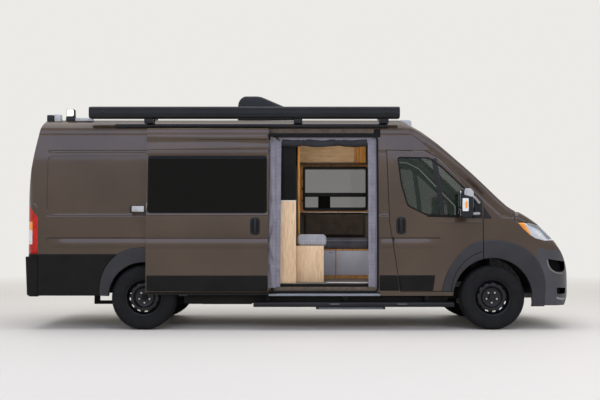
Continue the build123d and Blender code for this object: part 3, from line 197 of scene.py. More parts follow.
# tempered privacy glass: nearly black, mirror gloss
privacyGlass = glassFinish("privacyGlass", "#050605", 0.94, 0.012, 1.24)
cabGlass = glassFinish("tintedSafetyGlass", "#1c2b22", 0.55, 0.01, 1.42)
screenGlass = glassFinish("laminatedScreenGlass", "#1c2a24", 0.36, 0.01, 1.42)
farGlass = glassFinish("tintedSideGlass", "#232a22", 0.56, 0.01, 1.4)
rearGlass = glassFinish("smokedSafetyGlass", "#0b0d0e", 0.85, 0.015, 1.4)
lensClear = glassFinish("clearPolycarbonate", "#dfe3e6", 0.16, 0.03, 1.5)
lensRed = cloudyFinish(
    "redAcrylic", "#a51006", "#c41d0c", 40, rough=(0.12, 0.2), specular=0.2, Coat_Weight=0.3, Coat_Roughness=0.03
)
lensAmber = cloudyFinish(
    "amberAcrylic", "#f08a1c", "#f6a02c", 30, rough=(0.12, 0.2), Coat_Weight=0.6, Coat_Roughness=0.03
)
lensMilk = cloudyFinish("milkyAcrylic", "#cfd0cc", "#e4e4e0", 60, rough=(0.2, 0.3), Coat_Weight=0.4)
# vacuum-plated reflector and mirror glass
reflectorMetal = cloudyFinish("vacuumPlatedReflector", "#cfd1d4", "#dfe0e3", 50, 6.0, 0.0, (0.22, 0.3), Metallic=0.7)
mirrorGlass = cloudyFinish("silveredGlass", "#c9cdd0", "#d4d8da", 200, rough=(0.02, 0.05), Metallic=1.0)
tyreRubber = cloudyFinish("treadRubber", "#121214", "#1b1b1c", 70, 1.5, 0.12, (0.72, 0.88), specular=0.2)
wheelPaint = cloudyFinish(
    "blackEnamelledSteel", "#0b0b0d", "#131317", 90, 3.0, 0.05, (0.3, 0.42), specular=0.3, Coat_Weight=0.1
)
zincSteel = cloudyFinish("zincPlatedSteel", "#b4b4b2", "#d8d8d6", 12, 2.0, 0.1, (0.2, 0.35), Metallic=1.0)
brushedSteel = cloudyFinish(
    "brushedStainlessSteel", "#7f858f", "#9ba0a8", 6, 1.2, 0.05, (0.25, 0.4), (0.03, 1, 1), Metallic=1.0
)
chassisSteel = cloudyFinish("waxedChassisSteel", "#0a0908", "#13110f", 60, 6.0, 0.5, (0.5, 0.75), specular=0.15)
castIron = cloudyFinish("brakeCastIron", "#1a1817", "#26231f", 25, 2.0, 0.1, (0.4, 0.55), Metallic=0.6)
engineAlloy = cloudyFinish("castAluminium", "#4b4c4c", "#6a6b6b", 40, 4.0, 0.4, (0.45, 0.6), Metallic=0.7)
blackAluminium = cloudyFinish(
    "powderCoatedAluminium", "#0f1013", "#17191c", 300, 1.5, 0.08, (0.36, 0.48), specular=0.26
)
sealRubber = cloudyFinish("epdmSeal", "#080808", "#0e0e0e", 50, 2.0, 0.08, (0.6, 0.75), specular=0.2)
birchPly = woodFinish("birchPly", "#bd9a74", "#cfae88", "#dabd98")
birchPlyLong = woodFinish("birchPlyAlong", "#bd9a74", "#cfae88", "#dabd98", "X")
pineBoard = woodFinish("oiledPine", "#9c642a", "#c08440", "#d29e58", "Z", (0.35, 0.5), 22)
whiteLaminate = cloudyFinish("whiteLaminate", "#dedbd5", "#e8e6e1", 200, 2.0, 0.03, (0.3, 0.38))
greyLaminate = cloudyFinish("greyLaminate", "#bebdc4", "#cbcad1", 240, 2.0, 0.04, (0.4, 0.5))
darkLaminate = cloudyFinish("darkLaminate", "#0c0b0a", "#151311", 240, 2.0, 0.05, (0.5, 0.65), specular=0.12)
sillCarpet = cloudyFinish("ribbedSillCarpet", "#4a4036", "#5e5346", 40, 3.0, 0.5, (0.85, 0.95))
vinylFloor = woodFinish("vinylFloor", "#4c463e", "#665e53", "#7a7164", "X", (0.4, 0.55), 30)
lightCloth = wovenFinish("lightGreyUpholsteryCloth", "#88898f", "#a9aab0", 3.0, 0.5)
darkCloth = wovenFinish("darkGreyUpholsteryCloth", "#47474c", "#68686e", 3.0, 0.5)
brownCloth = wovenFinish("brownUpholsteryCloth", "#453c34", "#64594f", 3.0, 0.4)
seatCloth = wovenFinish("cabSeatCloth", "#17171a", "#26262a", 3.0, 0.5)
mattressCloth = wovenFinish("mattressTicking", "#a9a69e", "#cfccc4", 4.0, 0.5)
screenCloth = wovenFinish("polyesterScreenCloth", "#6a6770", "#8c8992", 2.5, 0.2, 0.85)
meshCloth = wovenFinish("blackInsectMesh", "#131316", "#2a2a2f", 2.0, 0.3, 0.8)
plateSheet = cloudyFinish("reflectivePlateSheet", "#d9dad6", "#e6e7e3", 90, rough=(0.3, 0.4))
lampGlow, _, glowShader, _ = newMaterial("litDiffuser", {"Base Color": "#fff8e8", "Roughness": 0.4})
glowShader.inputs["Emission Color"].default_value = linear("#fff3d6")
glowShader.inputs["Emission Strength"].default_value = 1.6
print("materials made")

# camera at the photograph's place: square to the side, a little below window height
studio = {
    "floor": "#e3ddd3",
    "surround": "#eceae6",
    "ambient": 0.52,
    "fadeFrom": 6.0,
    "fadeTo": 15.0,
    "cameraPlace": (-0.012, -12.0, 1.13),
    "cameraTilt": 1.93,
    "lens": 56.94,
    "lights": [  # name, place, aim, size, watts, colour, seen in gloss
        ("overheadSoftbox", (0.0, -1.5, 8.5), (0.0, 0.0, 1.0), (12.0, 7.0), 560, "#f2f6ff", True),
        ("keySoftbox", (-3.5, -12.5, 4.6), (0.0, 0.0, 1.1), (8.0, 5.0), 230, "#fff6ea", False),
        ("shoulderSoftbox", (0.0, -12.5, 7.2), (0.0, 0.0, 1.6), (28.0, 4.6), 780, "#aec5f8", True),
        ("fillSoftbox", (8.0, -9.0, 3.4), (1.0, 0.0, 1.0), (5.0, 4.0), 220, "#fff6ea", False),
        ("cabinSoftbox", (0.55, -0.7, 2.16), (0.4, 0.75, 1.5), (0.6, 0.2), 4.5, "#fff2e0", False),
        ("backSoftbox", (0.0, 10.0, 6.0), (0.0, 0.0, 1.0), (10.0, 5.0), 300, "#ffffff", False),
    ],
}


def raysThatSee(tree):
    path = addNode(tree, "ShaderNodeLightPath").outputs
    some = addNode(
        tree, "ShaderNodeMath", {"operation": "MAXIMUM"}, {0: path["Is Camera Ray"], 1: path["Is Glossy Ray"]}
    )
    return addNode(
        tree, "ShaderNodeMath", {"operation": "MAXIMUM"}, {0: some.outputs["Value"], 1: path["Is Transmission Ray"]}
    ).outputs["Value"]


def buildStudio():
    floorFinish, tree, shader, place = newMaterial("paintedFloor", {"Base Color": studio["floor"], "Roughness": 0.7})
    distance = addNode(tree, "ShaderNodeVectorMath", {"operation": "LENGTH"}, {0: place}).outputs["Value"]
    span = {"interpolation_type": "SMOOTHSTEP", "From Min": studio["fadeFrom"], "From Max": studio["fadeTo"]}
    far = addNode(tree, "ShaderNodeMapRange", span, {"Value": distance}).outputs["Result"]
    share = addNode(tree, "ShaderNodeMath", {"operation": "MULTIPLY"}, {0: far, 1: raysThatSee(tree)}).outputs["Value"]
    glow = addNode(tree, "ShaderNodeEmission", {"Color": linear(studio["surround"]), "Strength": 1.0})
    both = addNode(
        tree, "ShaderNodeMixShader", links={0: share, 1: shader.outputs["BSDF"], 2: glow.outputs["Emission"]}
    )
    tree.links.new(both.outputs["Shader"], tree.nodes["Material Output"].inputs["Surface"])
    floor = bpy.data.meshes.new("floor")
    reach = 90.0
    floor.from_pydata(
        [(-reach, -reach, 0), (reach, -reach, 0), (reach, reach, 0), (-reach, reach, 0)], [], [(0, 1, 2, 3)]
    )
    floor.materials.append(floorFinish)
    floorPiece = bpy.data.objects.new("floor", floor)
    bpy.context.collection.objects.link(floorPiece)
    world = bpy.data.worlds.new("studio")
    bpy.context.scene.world = world
    world.use_nodes = True
    tree = world.node_tree
    ambient = tree.nodes["Background"]
    ambient.inputs["Color"].default_value = linear("#eef1f6")
    ambient.inputs["Strength"].default_value = studio["ambient"]
    seen = addNode(tree, "ShaderNodeBackground", {"Color": linear(studio["surround"]), "Strength": 1.0})
    mix = addNode(
        tree,
        "ShaderNodeMixShader",
        links={0: raysThatSee(tree), 1: ambient.outputs["Background"], 2: seen.outputs["Background"]},
    )
    tree.links.new(mix.outputs["Shader"], tree.nodes["World Output"].inputs["Surface"])
    for name, place, aim, size, power, colour, inGloss in studio["lights"]:
        lamp = bpy.data.lights.new(name, "AREA")
        lamp.shape = "RECTANGLE"
        lamp.size, lamp.size_y = size
        lamp.energy = power
        lamp.color = linear(colour)[:3]
        holder = bpy.data.objects.new(name, lamp)
        holder.visible_glossy = inGloss
        holder.visible_camera = False
        holder.location = place
        holder.rotation_euler = (Vector(aim) - Vector(place)).to_track_quat("-Z", "Y").to_euler()
        bpy.context.collection.objects.link(holder)
    cameraData = bpy.data.cameras.new("camera")
    cameraData.lens = studio["lens"]
    cameraData.sensor_width = 36.0
    cameraData.clip_end = 300.0
    camera = bpy.data.objects.new("camera", cameraData)
    camera.location = studio["cameraPlace"]
    camera.rotation_euler = (math.radians(90 + studio["cameraTilt"]), 0, 0)
    bpy.context.collection.objects.link(camera)
    bpy.context.scene.camera = camera
    bpy.context.scene.view_settings.view_transform = "Standard"


buildStudio()
print("studio ready")

# mesh helpers


def painted(mesh, *finishes):
    mesh.materials.clear()
    for finish in finishes:
        mesh.materials.append(finish)


def newPiece(name, mesh, material):
    piece = bpy.data.objects.new(name, mesh)
    bpy.context.collection.objects.link(piece)
    if material is not None:
        painted(mesh, material)
    return piece


# a mesh opened for editing, points nearer than mergeWithin merged first
@contextmanager
def edited(mesh, mergeWithin=0.0):
    work = bmesh.new()
    work.from_mesh(mesh)
    if mergeWithin:
        bmesh.ops.remove_doubles(work, verts=work.verts, dist=mergeWithin)
    yield work
    work.to_mesh(mesh)
    work.free()


def smoothed(mesh, angle=35):
    mesh.polygons.foreach_set("use_smooth", [True] * len(mesh.polygons))
    mesh.set_sharp_from_angle(angle=math.radians(angle))


def pieceFrom(name, points, faces, material, angle=35):
    mesh = bpy.data.meshes.new(name)
    mesh.from_pydata([tuple(p) for p in points], [], faces)
    with edited(mesh, 1e-6) as work:
        bmesh.ops.recalc_face_normals(work, faces=work.faces)
    smoothed(mesh, angle)
    return newPiece(name, mesh, material)


def settled(piece, angle=None):
    graph = bpy.context.evaluated_depsgraph_get()
    mesh = bpy.data.meshes.new_from_object(piece.evaluated_get(graph))
    piece.modifiers.clear()
    piece.data = mesh
    if angle:
        smoothed(mesh, angle)
    return piece


def softened(piece, width, segments=3, angle=30):
    bevel = piece.modifiers.new("bevel", "BEVEL")
    bevel.width = width
    bevel.segments = segments
    bevel.limit_method = "ANGLE"
    bevel.angle_limit = math.radians(angle)
    bevel.use_clamp_overlap = True
    return settled(piece, 30)


def loft(name, rings, material, closedRing=True, closedPath=False, capped=True, angle=35):
    count = len(rings[0])
    points = [p for ring in rings for p in ring]
    faces = []
    lastRing = len(rings) if closedPath else len(rings) - 1
    lastPoint = count if closedRing else count - 1
    for i in range(lastRing):
        for j in range(lastPoint):
            a, b = i * count, (i + 1) % len(rings) * count
            faces.append((a + j, a + (j + 1) % count, b + (j + 1) % count, b + j))
    if capped and closedRing and not closedPath:
        faces.append(tuple(range(count)))
        faces.append(tuple(reversed(range(len(points) - count, len(points)))))
    return pieceFrom(name, points, faces, material, angle)


def axisPoint(axis, u, v, depth):
    return {"y": (u, depth, v), "x": (depth, u, v), "z": (u, v, depth)}[axis]


def prism(name, outline, axis, near, far, material, bevel=0.003, segments=3):
    rings = [[axisPoint(axis, u, v, depth) for u, v in outline] for depth in (near, far)]
    made = loft(name, rings, material)
    return softened(made, bevel, segments) if bevel else made


def board(name, x0, x1, y0, y1, z0, z1, material, bevel=0.002, segments=2):
    return prism(name, [(x0, z0), (x1, z0), (x1, z1), (x0, z1)], "y", y0, y1, material, bevel, segments)


def rounded(outline, radius, steps=6):
    made = []
    for i, corner in enumerate(outline):
        before, here, after = Vector(outline[i - 1]), Vector(corner), Vector(outline[(i + 1) % len(outline)])
        a, b = (before - here), (after - here)
        reach = min(radius, a.length / 2.1, b.length / 2.1)
        start, end = here + a.normalized() * reach, here + b.normalized() * reach
        for k in range(steps + 1):
            t = k / steps
            made.append(tuple(start * (1 - t) ** 2 + here * 2 * t * (1 - t) + end * t**2))
    return made


def inset(outline, distance):
    area = sum(a[0] * b[1] - b[0] * a[1] for a, b in zip(outline, outline[1:] + outline[:1]))
    turn = 1 if area > 0 else -1
    made = []
    for i, here in enumerate(outline):
        before, after = Vector(outline[i - 1]), Vector(outline[(i + 1) % len(outline)])
        along = after - before
        normal = Vector((-along.y, along.x)).normalized() * turn
        made.append(tuple(Vector(here) + normal * distance))
    return made


def tube(name, path, radius, material, sides=12, closed=False):
    rings = []
    points = [Vector(p) for p in path]
    up = Vector((0, 0, 1))
    for i, here in enumerate(points):
        before = points[i - 1] if i or closed else here
        after = points[(i + 1) % len(points)] if i < len(points) - 1 or closed else here
        along = (after - before).normalized()
        if abs(along.dot(up)) > 0.95:
            up = Vector((0, 1, 0)) if abs(along.y) < 0.9 else Vector((1, 0, 0))
        across = along.cross(up).normalized()
        up = across.cross(along).normalized()
        size = radius[i] if isinstance(radius, (list, tuple)) else radius
        rings.append(
            [
                here + (across * math.cos(t) + up * math.sin(t)) * size
                for t in (2 * math.pi * k / sides for k in range(sides))
            ]
        )
    return loft(name, rings, material, closedPath=closed)


def curvedPath(points, steps=8):
    made = []
    vectors = [Vector(p) for p in points]
    for i in range(len(vectors) - 1):
        a, b = vectors[max(i - 1, 0)], vectors[i]
        c, d = vectors[i + 1], vectors[min(i + 2, len(vectors) - 1)]
        for k in range(steps):
            t = k / steps
            made.append(
                0.5 * ((2 * b) + (c - a) * t + (2 * a - 5 * b + 4 * c - d) * t * t + (3 * b - a - 3 * c + d) * t**3)
            )
    made.append(vectors[-1])
    return made


# profile (radius, along the axle) turned about the axle of one wheel
def turned(name, profile, centre, material, steps=72, closed=True, angle=35):
    rings = []
    for k in range(steps):
        t = 2 * math.pi * k / steps
        rings.append([(centre[0] + r * math.cos(t), centre[1] + y, centre[2] + r * math.sin(t)) for r, y in profile])
    return loft(name, rings, material, closedRing=closed, closedPath=True, capped=False, angle=angle)


# says what a piece rides on and the CAD nodes that it stands for
def taken(piece, body="van", stands=()):
    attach(piece, body)
    if stands:
        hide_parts(*stands)
    return piece


def joined(name, pieces):
    work = bmesh.new()
    finishes = []
    for piece in pieces:
        offset = {}
        for i, finish in enumerate(piece.data.materials):
            if finish not in finishes:
                finishes.append(finish)
            offset[i] = finishes.index(finish)
        start = len(work.faces)
        work.from_mesh(piece.data)
        work.faces.ensure_lookup_table()
        for face in work.faces[start:]:
            face.material_index = offset.get(face.material_index, 0)
        bpy.data.objects.remove(piece)
    mesh = bpy.data.meshes.new(name)
    work.to_mesh(mesh)
    work.free()
    for finish in finishes:
        mesh.materials.append(finish)
    return newPiece(name, mesh, None)


def fitted(name, pieces, body="van", stands=()):
    return taken(joined(name, pieces), body, stands)


def mirrored(piece, name):
    mesh = piece.data.copy()
    mesh.transform(Matrix.Scale(-1, 4, (0, 1, 0)))
    mesh.flip_normals()
    return newPiece(name, mesh, None)


# a right-hand piece and its mirror image, each on its own side's body
def bothSides(piece, leftName, body="van", stands=()):
    other = mirrored(piece, leftName)
    taken(piece, body, stands)
    taken(
        other, body.replace("right", "left"),
        [name.replace("right", "left") for name in stands if "right" in name]
    )


# Geometry Nodes trees: one small piece repeated on points, made one mesh and given its material
def startTree(name, **more):
    tree = bpy.data.node_groups.new(name, "GeometryNodeTree")
    sockets = {"Geometry": "Geometry", "Piece": "Object", "Count": "Int", "Finish": "Material", **more}
    for label, kind in sockets.items():
        tree.interface.new_socket(label, in_out="INPUT", socket_type="NodeSocket" + kind)
    tree.interface.new_socket("Geometry", in_out="OUTPUT", socket_type="NodeSocketGeometry")
    given = addNode(tree, "NodeGroupInput").outputs
    piece = addNode(tree, "GeometryNodeObjectInfo", links={"Object": given["Piece"]}).outputs["Geometry"]
    return tree, given, piece


def endTree(tree, given, geometry):
    inMaterial = addNode(tree, "GeometryNodeSetMaterial", links={"Geometry": geometry, "Material": given["Finish"]})
    addNode(tree, "NodeGroupOutput", links={"Geometry": inMaterial.outputs["Geometry"]})
    return tree


# round a ring, each piece's X axis pointing outwards
def ringTree():
    tree, given, piece = startTree("repeatRound", Radius="Float", Start="Float")
    circle = addNode(tree, "GeometryNodeMeshCircle", links={"Vertices": given["Count"], "Radius": given["Radius"]})
    index = addNode(tree, "GeometryNodeInputIndex").outputs["Index"]
    share = addNode(tree, "ShaderNodeMath", {"operation": "DIVIDE"}, {0: index, 1: given["Count"]}).outputs["Value"]
    angle = addNode(tree, "ShaderNodeMath", {"operation": "MULTIPLY", 1: 2 * math.pi}, {0: share}).outputs["Value"]
    turn = addNode(tree, "ShaderNodeCombineXYZ", links={"Z": angle}).outputs["Vector"]
    links = {"Points": circle.outputs["Mesh"], "Instance": piece, "Rotation": turn}
    many = addNode(tree, "GeometryNodeInstanceOnPoints", links=links).outputs["Instances"]
    whole = addNode(tree, "GeometryNodeRealizeInstances", links={"Geometry": many}).outputs["Geometry"]
    spin = addNode(tree, "ShaderNodeCombineXYZ", links={"Z": given["Start"]}).outputs["Vector"]
    placed = addNode(tree, "GeometryNodeTransform", links={"Geometry": whole, "Rotation": spin}).outputs["Geometry"]
    return endTree(tree, given, placed)


# along a straight run
def rowTree():
    tree, given, piece = startTree("repeatAlong", Start="Vector", Step="Vector")
    links = {"Count": given["Count"], "Start Location": given["Start"], "Offset": given["Step"]}
    line = addNode(tree, "GeometryNodeMeshLine", links=links).outputs["Mesh"]
    many = addNode(tree, "GeometryNodeInstanceOnPoints", links={"Points": line, "Instance": piece}).outputs["Instances"]
    whole = addNode(tree, "GeometryNodeRealizeInstances", links={"Geometry": many}).outputs["Geometry"]
    return endTree(tree, given, whole)


roundTree, alongTree = ringTree(), rowTree()


def repeated(name, tree, small, finish, place=None, **values):
    holder = newPiece(name, bpy.data.meshes.new(name), None)
    modifier = holder.modifiers.new("repeat", "NODES")
    modifier.node_group = tree
    given = {"Piece": small, "Finish": finish, **values}
    for item in tree.interface.items_tree:
        if item.in_out == "INPUT" and item.name in given:
            modifier[item.identifier] = given[item.name]
    settled(holder)
    if place is not None:
        holder.data.transform(place)
    bpy.data.objects.remove(small)
    return holder


# CAD pieces that stay as they are get the real material, and a lining on the faces inside the van


def pair(pattern):
    return [pattern.replace("*", side) for side in ("right", "left")]


plainFinishes = {
    bodyPaint: ["roof_panel", "front_panels", "bonnet", "sliding_door", *pair("body_side_*"), *pair("front_door_*"),
                *pair("rear_door_*")],
    cabGlass: pair("front_door_*_glass"),
    screenGlass: ["windscreen"],
    rearGlass: pair("rear_door_*_glass"),
    privacyGlass: ["side_windows"],
    grainedPlastic: ["front_bumper", "grille", "front_bulkhead", "rear_bumper", "side_trim", "arch_liners", "dashboard",
                     *pair("front_door_*_trim")],
    blackAluminium: ["awning", "roof_rails", "running_board", "roof_unit"],
    lensClear: ["headlamps"],
    lensRed: ["tail_lamps"],
    chassisSteel: ["front_subframe", "rear_axle", "underbody"],
    castIron: pair("knuckle_*"),
    engineAlloy: ["engine_block"],
    birchPly: ["kitchen_unit", "bench_boxes", "overhead_cabinet", "bed_platform"],
    vinylFloor: ["floor_pan", "floor_covering"],
    tyreRubber: pair("tyre_front_*") + pair("tyre_rear_*"),
    wheelPaint: pair("rim_front_*") + pair("rim_rear_*"),
    seatCloth: ["cab_seats"],
    lightCloth: ["seat_cushions"],
    mattressCloth: ["mattress"],
    screenCloth: ["door_screen"],
}
for finish, names in plainFinishes.items():
    for name in names:
        painted(nodes[name].data, finish)


windows = nodes["side_windows"].data
windows.materials.append(farGlass)
for face in windows.polygons:
    face.material_index = 1 if face.center.y > 0 else 0


def lineInside(mesh, lining, middle=1.35):
    mesh.materials.append(lining)
    for face in mesh.polygons:
        outward = Vector((0, face.center.y, (face.center.z - middle) * 0.6))
        if outward.length and face.normal.dot(outward.normalized()) < -0.35:
            face.material_index = 1


linings = {liningBoard: pair("body_side_*"), ceilingBoard: ["roof_panel"], grainedPlastic: pair("front_door_*")}
for lining, names in linings.items():
    for name in names:
        lineInside(nodes[name].data, lining)
frontPanels = nodes["front_panels"].data
frontPanels.materials.append(bumperPlastic)
for face in frontPanels.polygons:
    if face.center.z < 0.42:
        face.material_index = 1
for name in pair("rear_door_*"):
    mesh = nodes[name].data
    mesh.materials.append(liningBoard)
    for face in mesh.polygons:
        if face.normal.x > 0.5:
            face.material_index = 1
print("CAD pieces finished")

# wheels: pressed steel, twelve slots, five bolts, all-terrain tread
wheel = {
    "radius": 0.372,
    "pitches": 64,
    "rows": ((0.0, 0.0125, 0.0), (0.03, 0.0125, 0.5), (-0.03, 0.0125, 0.5), (0.06, 0.0125, 0.0), (-0.06, 0.0125, 0.0)),
    "boltCircle": 0.063,
    "slotRadius": 0.163,
    "discFace": 0.05,
    "disc": (
        (0.1945, -0.018), (0.186, -0.012), (0.176, -0.002), (0.16, 0.006), (0.143, 0.01), (0.13, 0.008),
        (0.118, -0.004), (0.108, -0.019), (0.1, -0.0235), (0.05, -0.0235), (0.036, -0.021),
    ),
    "bolt": ((0.0, 0.0), (0.014, 0.0), (0.014, 0.004), (0.0115, 0.007), (0.0115, 0.019), (0.009, 0.021), (0.0, 0.0215)),
    "cap": (
        (0.0, 0.026), (0.02, 0.0255), (0.03, 0.022), (0.035, 0.012), (0.0365, 0.0005), (0.03, -0.002), (0.0, -0.002)
    ),
}


def treadBlock(width, length):
    top = [(-length / 2, -width), (length / 2, -width * 0.8), (length / 2, width), (-length / 2, width * 0.8)]
    foot = [(y * 1.12, z * 1.1) for y, z in top]
    rings = [[(-0.004, y, z) for y, z in foot], [(0.0, y, z) for y, z in top]]
    return loft("treadBlock", rings, None, angle=20)


def buildWheel(place, x, side):
    centre = (x, side * halfTrack, wheelHeight)
    body = "wheel_" + place
    half = 0.1125
    sidewall = [
        (0.2065, 0.089), (0.213, 0.097), (0.228, 0.1035), (0.2305, 0.1065), (0.236, 0.1068), (0.238, 0.1055),
        (0.262, 0.1105), (0.292, half), (0.318, 0.1112), (0.3195, 0.1122), (0.3225, 0.112), (0.3235, 0.1105),
        (0.338, 0.1065), (0.352, 0.0985), (0.3595, 0.089), (0.3625, 0.078), (0.3635, 0.05), (0.3635, 0.0),
    ]
    profile = sidewall + [(r, -y) for r, y in reversed(sidewall[:-1])] + [(0.2065, y) for y in (-0.05, 0.0, 0.05)]
    carcass = turned("tyreCarcass", profile, centre, tyreRubber, 96)
    pieces = [carcass]
    ringPlace = Matrix.Translation(centre) @ Matrix.Rotation(math.radians(90), 4, "X")
    step = 2 * math.pi / wheel["pitches"]
    for offset, width, phase in wheel["rows"]:
        block = treadBlock(width, wheel["radius"] * step * 0.74)
        block.data.transform(Matrix.Translation((0, 0, offset)))
        pieces.append(
            repeated(
                "treadRow", roundTree, block, tyreRubber, ringPlace, Count=wheel["pitches"], Radius=wheel["radius"],
                Start=step * phase
            )
        )
    for end in (-1, 1):  # shoulder blocks fold down over the sidewall
        fold = ((-0.0005, 0.076), (-0.003, 0.0875), (-0.0165, 0.1015), (-0.029, 0.1062), (-0.03, 0.1), (-0.012, 0.08))
        rings = [[(x, y, end * z) for x, z in fold] for y in (-0.0105, 0.0105)]
        block = loft("shoulderBlock", rings, None, angle=25)
        pieces.append(
            repeated(
                "shoulderRow", roundTree, block, tyreRubber, ringPlace, Count=wheel["pitches"], Radius=wheel["radius"],
                Start=step * 0.5
            )
        )
    tyre = joined("tyreTread_" + place, pieces)
    taken(tyre, body, ["tyre_" + place])
    face = side * wheel["discFace"]
    rim = [
        (0.2045, 0.089), (0.2125, 0.0905), (0.2135, 0.087), (0.2065, 0.0845), (0.2055, 0.04), (0.1985, 0.03), (
            0.1985, -0.04
        ),
        (0.2055, -0.05), (0.2065, -0.0845), (0.2135, -0.087), (0.2125, -0.0905), (0.2045, -0.089), (0.2, -0.0845),
        (0.197, -0.05), (0.1935, -0.045), (0.1935, 0.022), (0.1945, 0.031), (0.2, 0.04), (0.2, 0.0845),
    ]
    barrel = turned("barrel", [(r, side * y) for r, y in rim], centre, wheelPaint, 96)
    disc = [(r, face + side * out) for r, out in wheel["disc"]]
    under = [(r, y - side * 0.006) for r, y in reversed(disc)]
    plate = turned("disc", disc + under, centre, wheelPaint, 96)
    cutters = []
    for k in range(12):
        angle = math.radians(30 * k + 8)
        outline = rounded([(-0.007, -0.02), (0.007, -0.02), (0.007, 0.02), (-0.007, 0.02)], 0.008, 3)
        slot = prism("slotCutter", outline, "z", -0.06, 0.06, None, 0)
        slot.data.transform(
            Matrix.Translation((centre[0], centre[1] + face, centre[2]))
            @ Matrix.Rotation(-angle, 4, "Y")
            @ Matrix.Translation((wheel["slotRadius"], 0, 0))
            @ Matrix.Rotation(math.radians(90), 4, "X")
        )
        cutters.append(slot)
    cutter = joined("slotCutters", cutters)
    cut = plate.modifiers.new("slots", "BOOLEAN")
    cut.operation, cut.object, cut.solver = "DIFFERENCE", cutter, "EXACT"
    settled(plate, 35)
    bpy.data.objects.remove(cutter)
    boltFace = face - side * 0.0235
    bolt = turned("bolt", wheel["bolt"], (0, 0, 0), None, 6, closed=False, angle=25)
    bolt.data.transform(Matrix.Rotation(math.radians(-90 * side), 4, "X"))
    if side > 0:
        bolt.data.transform(Matrix.Rotation(math.pi, 4, "X"))
        bolt.data.transform(Matrix.Scale(-1, 4, (0, 0, 1)))
        bolt.data.flip_normals()
    bolts = repeated(
        "wheelBolts", roundTree, bolt, zincSteel,
        Matrix.Translation((centre[0], centre[1] + boltFace, centre[2])) @ Matrix.Rotation(math.radians(90), 4, "X"),
        Count=5, Radius=wheel["boltCircle"], Start=math.radians(54),
    )
    capProfile = [(r, boltFace + side * out) for r, out in wheel["cap"]]
    cap = turned("hubCap", capProfile, centre, sealRubber, 48, closed=False)
    whole = joined("steelWheel_" + place, [barrel, plate, bolts, cap])
    taken(whole, body, ["rim_" + place])


for place, x, side in (
    ("front_right", frontAxle, right), ("front_left", frontAxle, left), ("rear_right", rearAxle, right),
    ("rear_left", rearAxle, left)
):
    buildWheel(place, x, side)
print("wheels made")

# surfaces that trim is laid on: each gives the point at (u, v), lift above the paint


def onFlank(side, out=0.0):
    return lambda x, z, lift: (x, side * (flankY(z) + out + lift), z)


def bvhOf(names):
    points, faces = [], []
    for name in names:
        start = len(points)
        mesh = nodes[name].data
        points.extend(v.co.copy() for v in mesh.vertices)
        faces.extend([start + i for i in face.vertices] for face in mesh.polygons)
    return BVHTree.FromPolygons(points, faces)


def onSkin(names, axis, sign, fallback=0.0):
    skin = bvhOf(names)
    across = {"x": 0, "y": 1, "z": 2}[axis]
    ray = Vector([0, 0, 0])
    ray[across] = -sign

    def place(u, v, lift):
        origin = Vector(axisPoint(axis, u, v, sign * 8))
        hit = skin.ray_cast(origin, ray)[0]
        depth = hit[across] if hit else fallback
        return axisPoint(axis, u, v, depth + sign * lift)

    return place


def bandOn(name, outline, width, lift, surface, material, sunk=0.004):
    edge = min(0.003, width / 4)
    rings = []
    for a, b, c, d in zip(outline, inset(outline, edge), inset(outline, width - edge), inset(outline, width)):
        rings.append(
            [
                surface(*p, h) for p,
                h in ((a, -sunk), (a, lift * 0.6), (b, lift), (c, lift), (d, lift * 0.6), (d, -sunk))
            ]
        )
    return loft(name, rings, material, closedPath=True, capped=False, angle=50)


def plateOn(name, outline, lift, surface, material, edge=0.006, sunk=0.004, rows=14):
    centre = Vector(((min(p[0] for p in outline) + max(p[0] for p in outline)) / 2,
                     (min(p[1] for p in outline) + max(p[1] for p in outline)) / 2))
    rings = [[surface(*p, -sunk) for p in outline], [surface(*p, lift * 0.5) for p in outline]]
    rings.append([surface(*p, lift * 0.85) for p in inset(outline, edge * 0.35)])
    flat = inset(outline, edge)
    for row in range(rows):
        inner = [Vector(p).lerp(centre, row / rows) for p in flat]
        rings.append([surface(p.x, p.y, lift) for p in inner])
    return loft(name, rings, material, angle=45)


def stripOn(name, path, width, lift, surface, material):
    rings = []
    points = [Vector(p) for p in path]
    for i, here in enumerate(points):
        along = (points[min(i + 1, len(points) - 1)] - points[max(i - 1, 0)]).normalized()
        across = Vector((-along.y, along.x)) * width / 2
        rings.append(
            [
                surface(*(here + across * s), h) for s,
                h in ((-1, -0.004), (-1, lift * 0.5), (-0.7, lift), (0.7, lift), (1, lift * 0.5), (1, -0.004))
            ]
        )
    return loft(name, rings, material, angle=50)


def dense(outline, step=0.05):
    made = []
    for a, b in zip(outline, outline[1:] + outline[:1]):
        count = max(1, int((Vector(b) - Vector(a)).length / step))
        made.extend(tuple(Vector(a).lerp(Vector(b), k / count)) for k in range(count))
    return made


def box2(u0, u1, v0, v1):
    return [(u0, v0), (u1, v0), (u1, v1), (u0, v1)]


def roundBox(u0, u1, v0, v1, radius, steps=6):
    return rounded(box2(u0, u1, v0, v1), radius, steps)


def cutAt(piece, point, normal):
    with edited(piece.data) as work:
        everything = work.verts[:] + work.edges[:] + work.faces[:]
        bmesh.ops.bisect_plane(work, geom=everything, plane_co=point, plane_no=normal, clear_outer=True)
        bmesh.ops.holes_fill(work, edges=[e for e in work.edges if e.is_boundary])
        bmesh.ops.recalc_face_normals(work, faces=work.faces)
    smoothed(piece.data, 40)
    return piece


def solidCopy(node, name, material, flatWithin=1.0):
    mesh = nodes[node].data.copy()
    with edited(mesh, 1e-5) as work:
        bmesh.ops.dissolve_limit(work, angle_limit=math.radians(flatWithin), verts=work.verts, edges=work.edges)
    smoothed(mesh, 30)
    return newPiece(name, mesh, material)


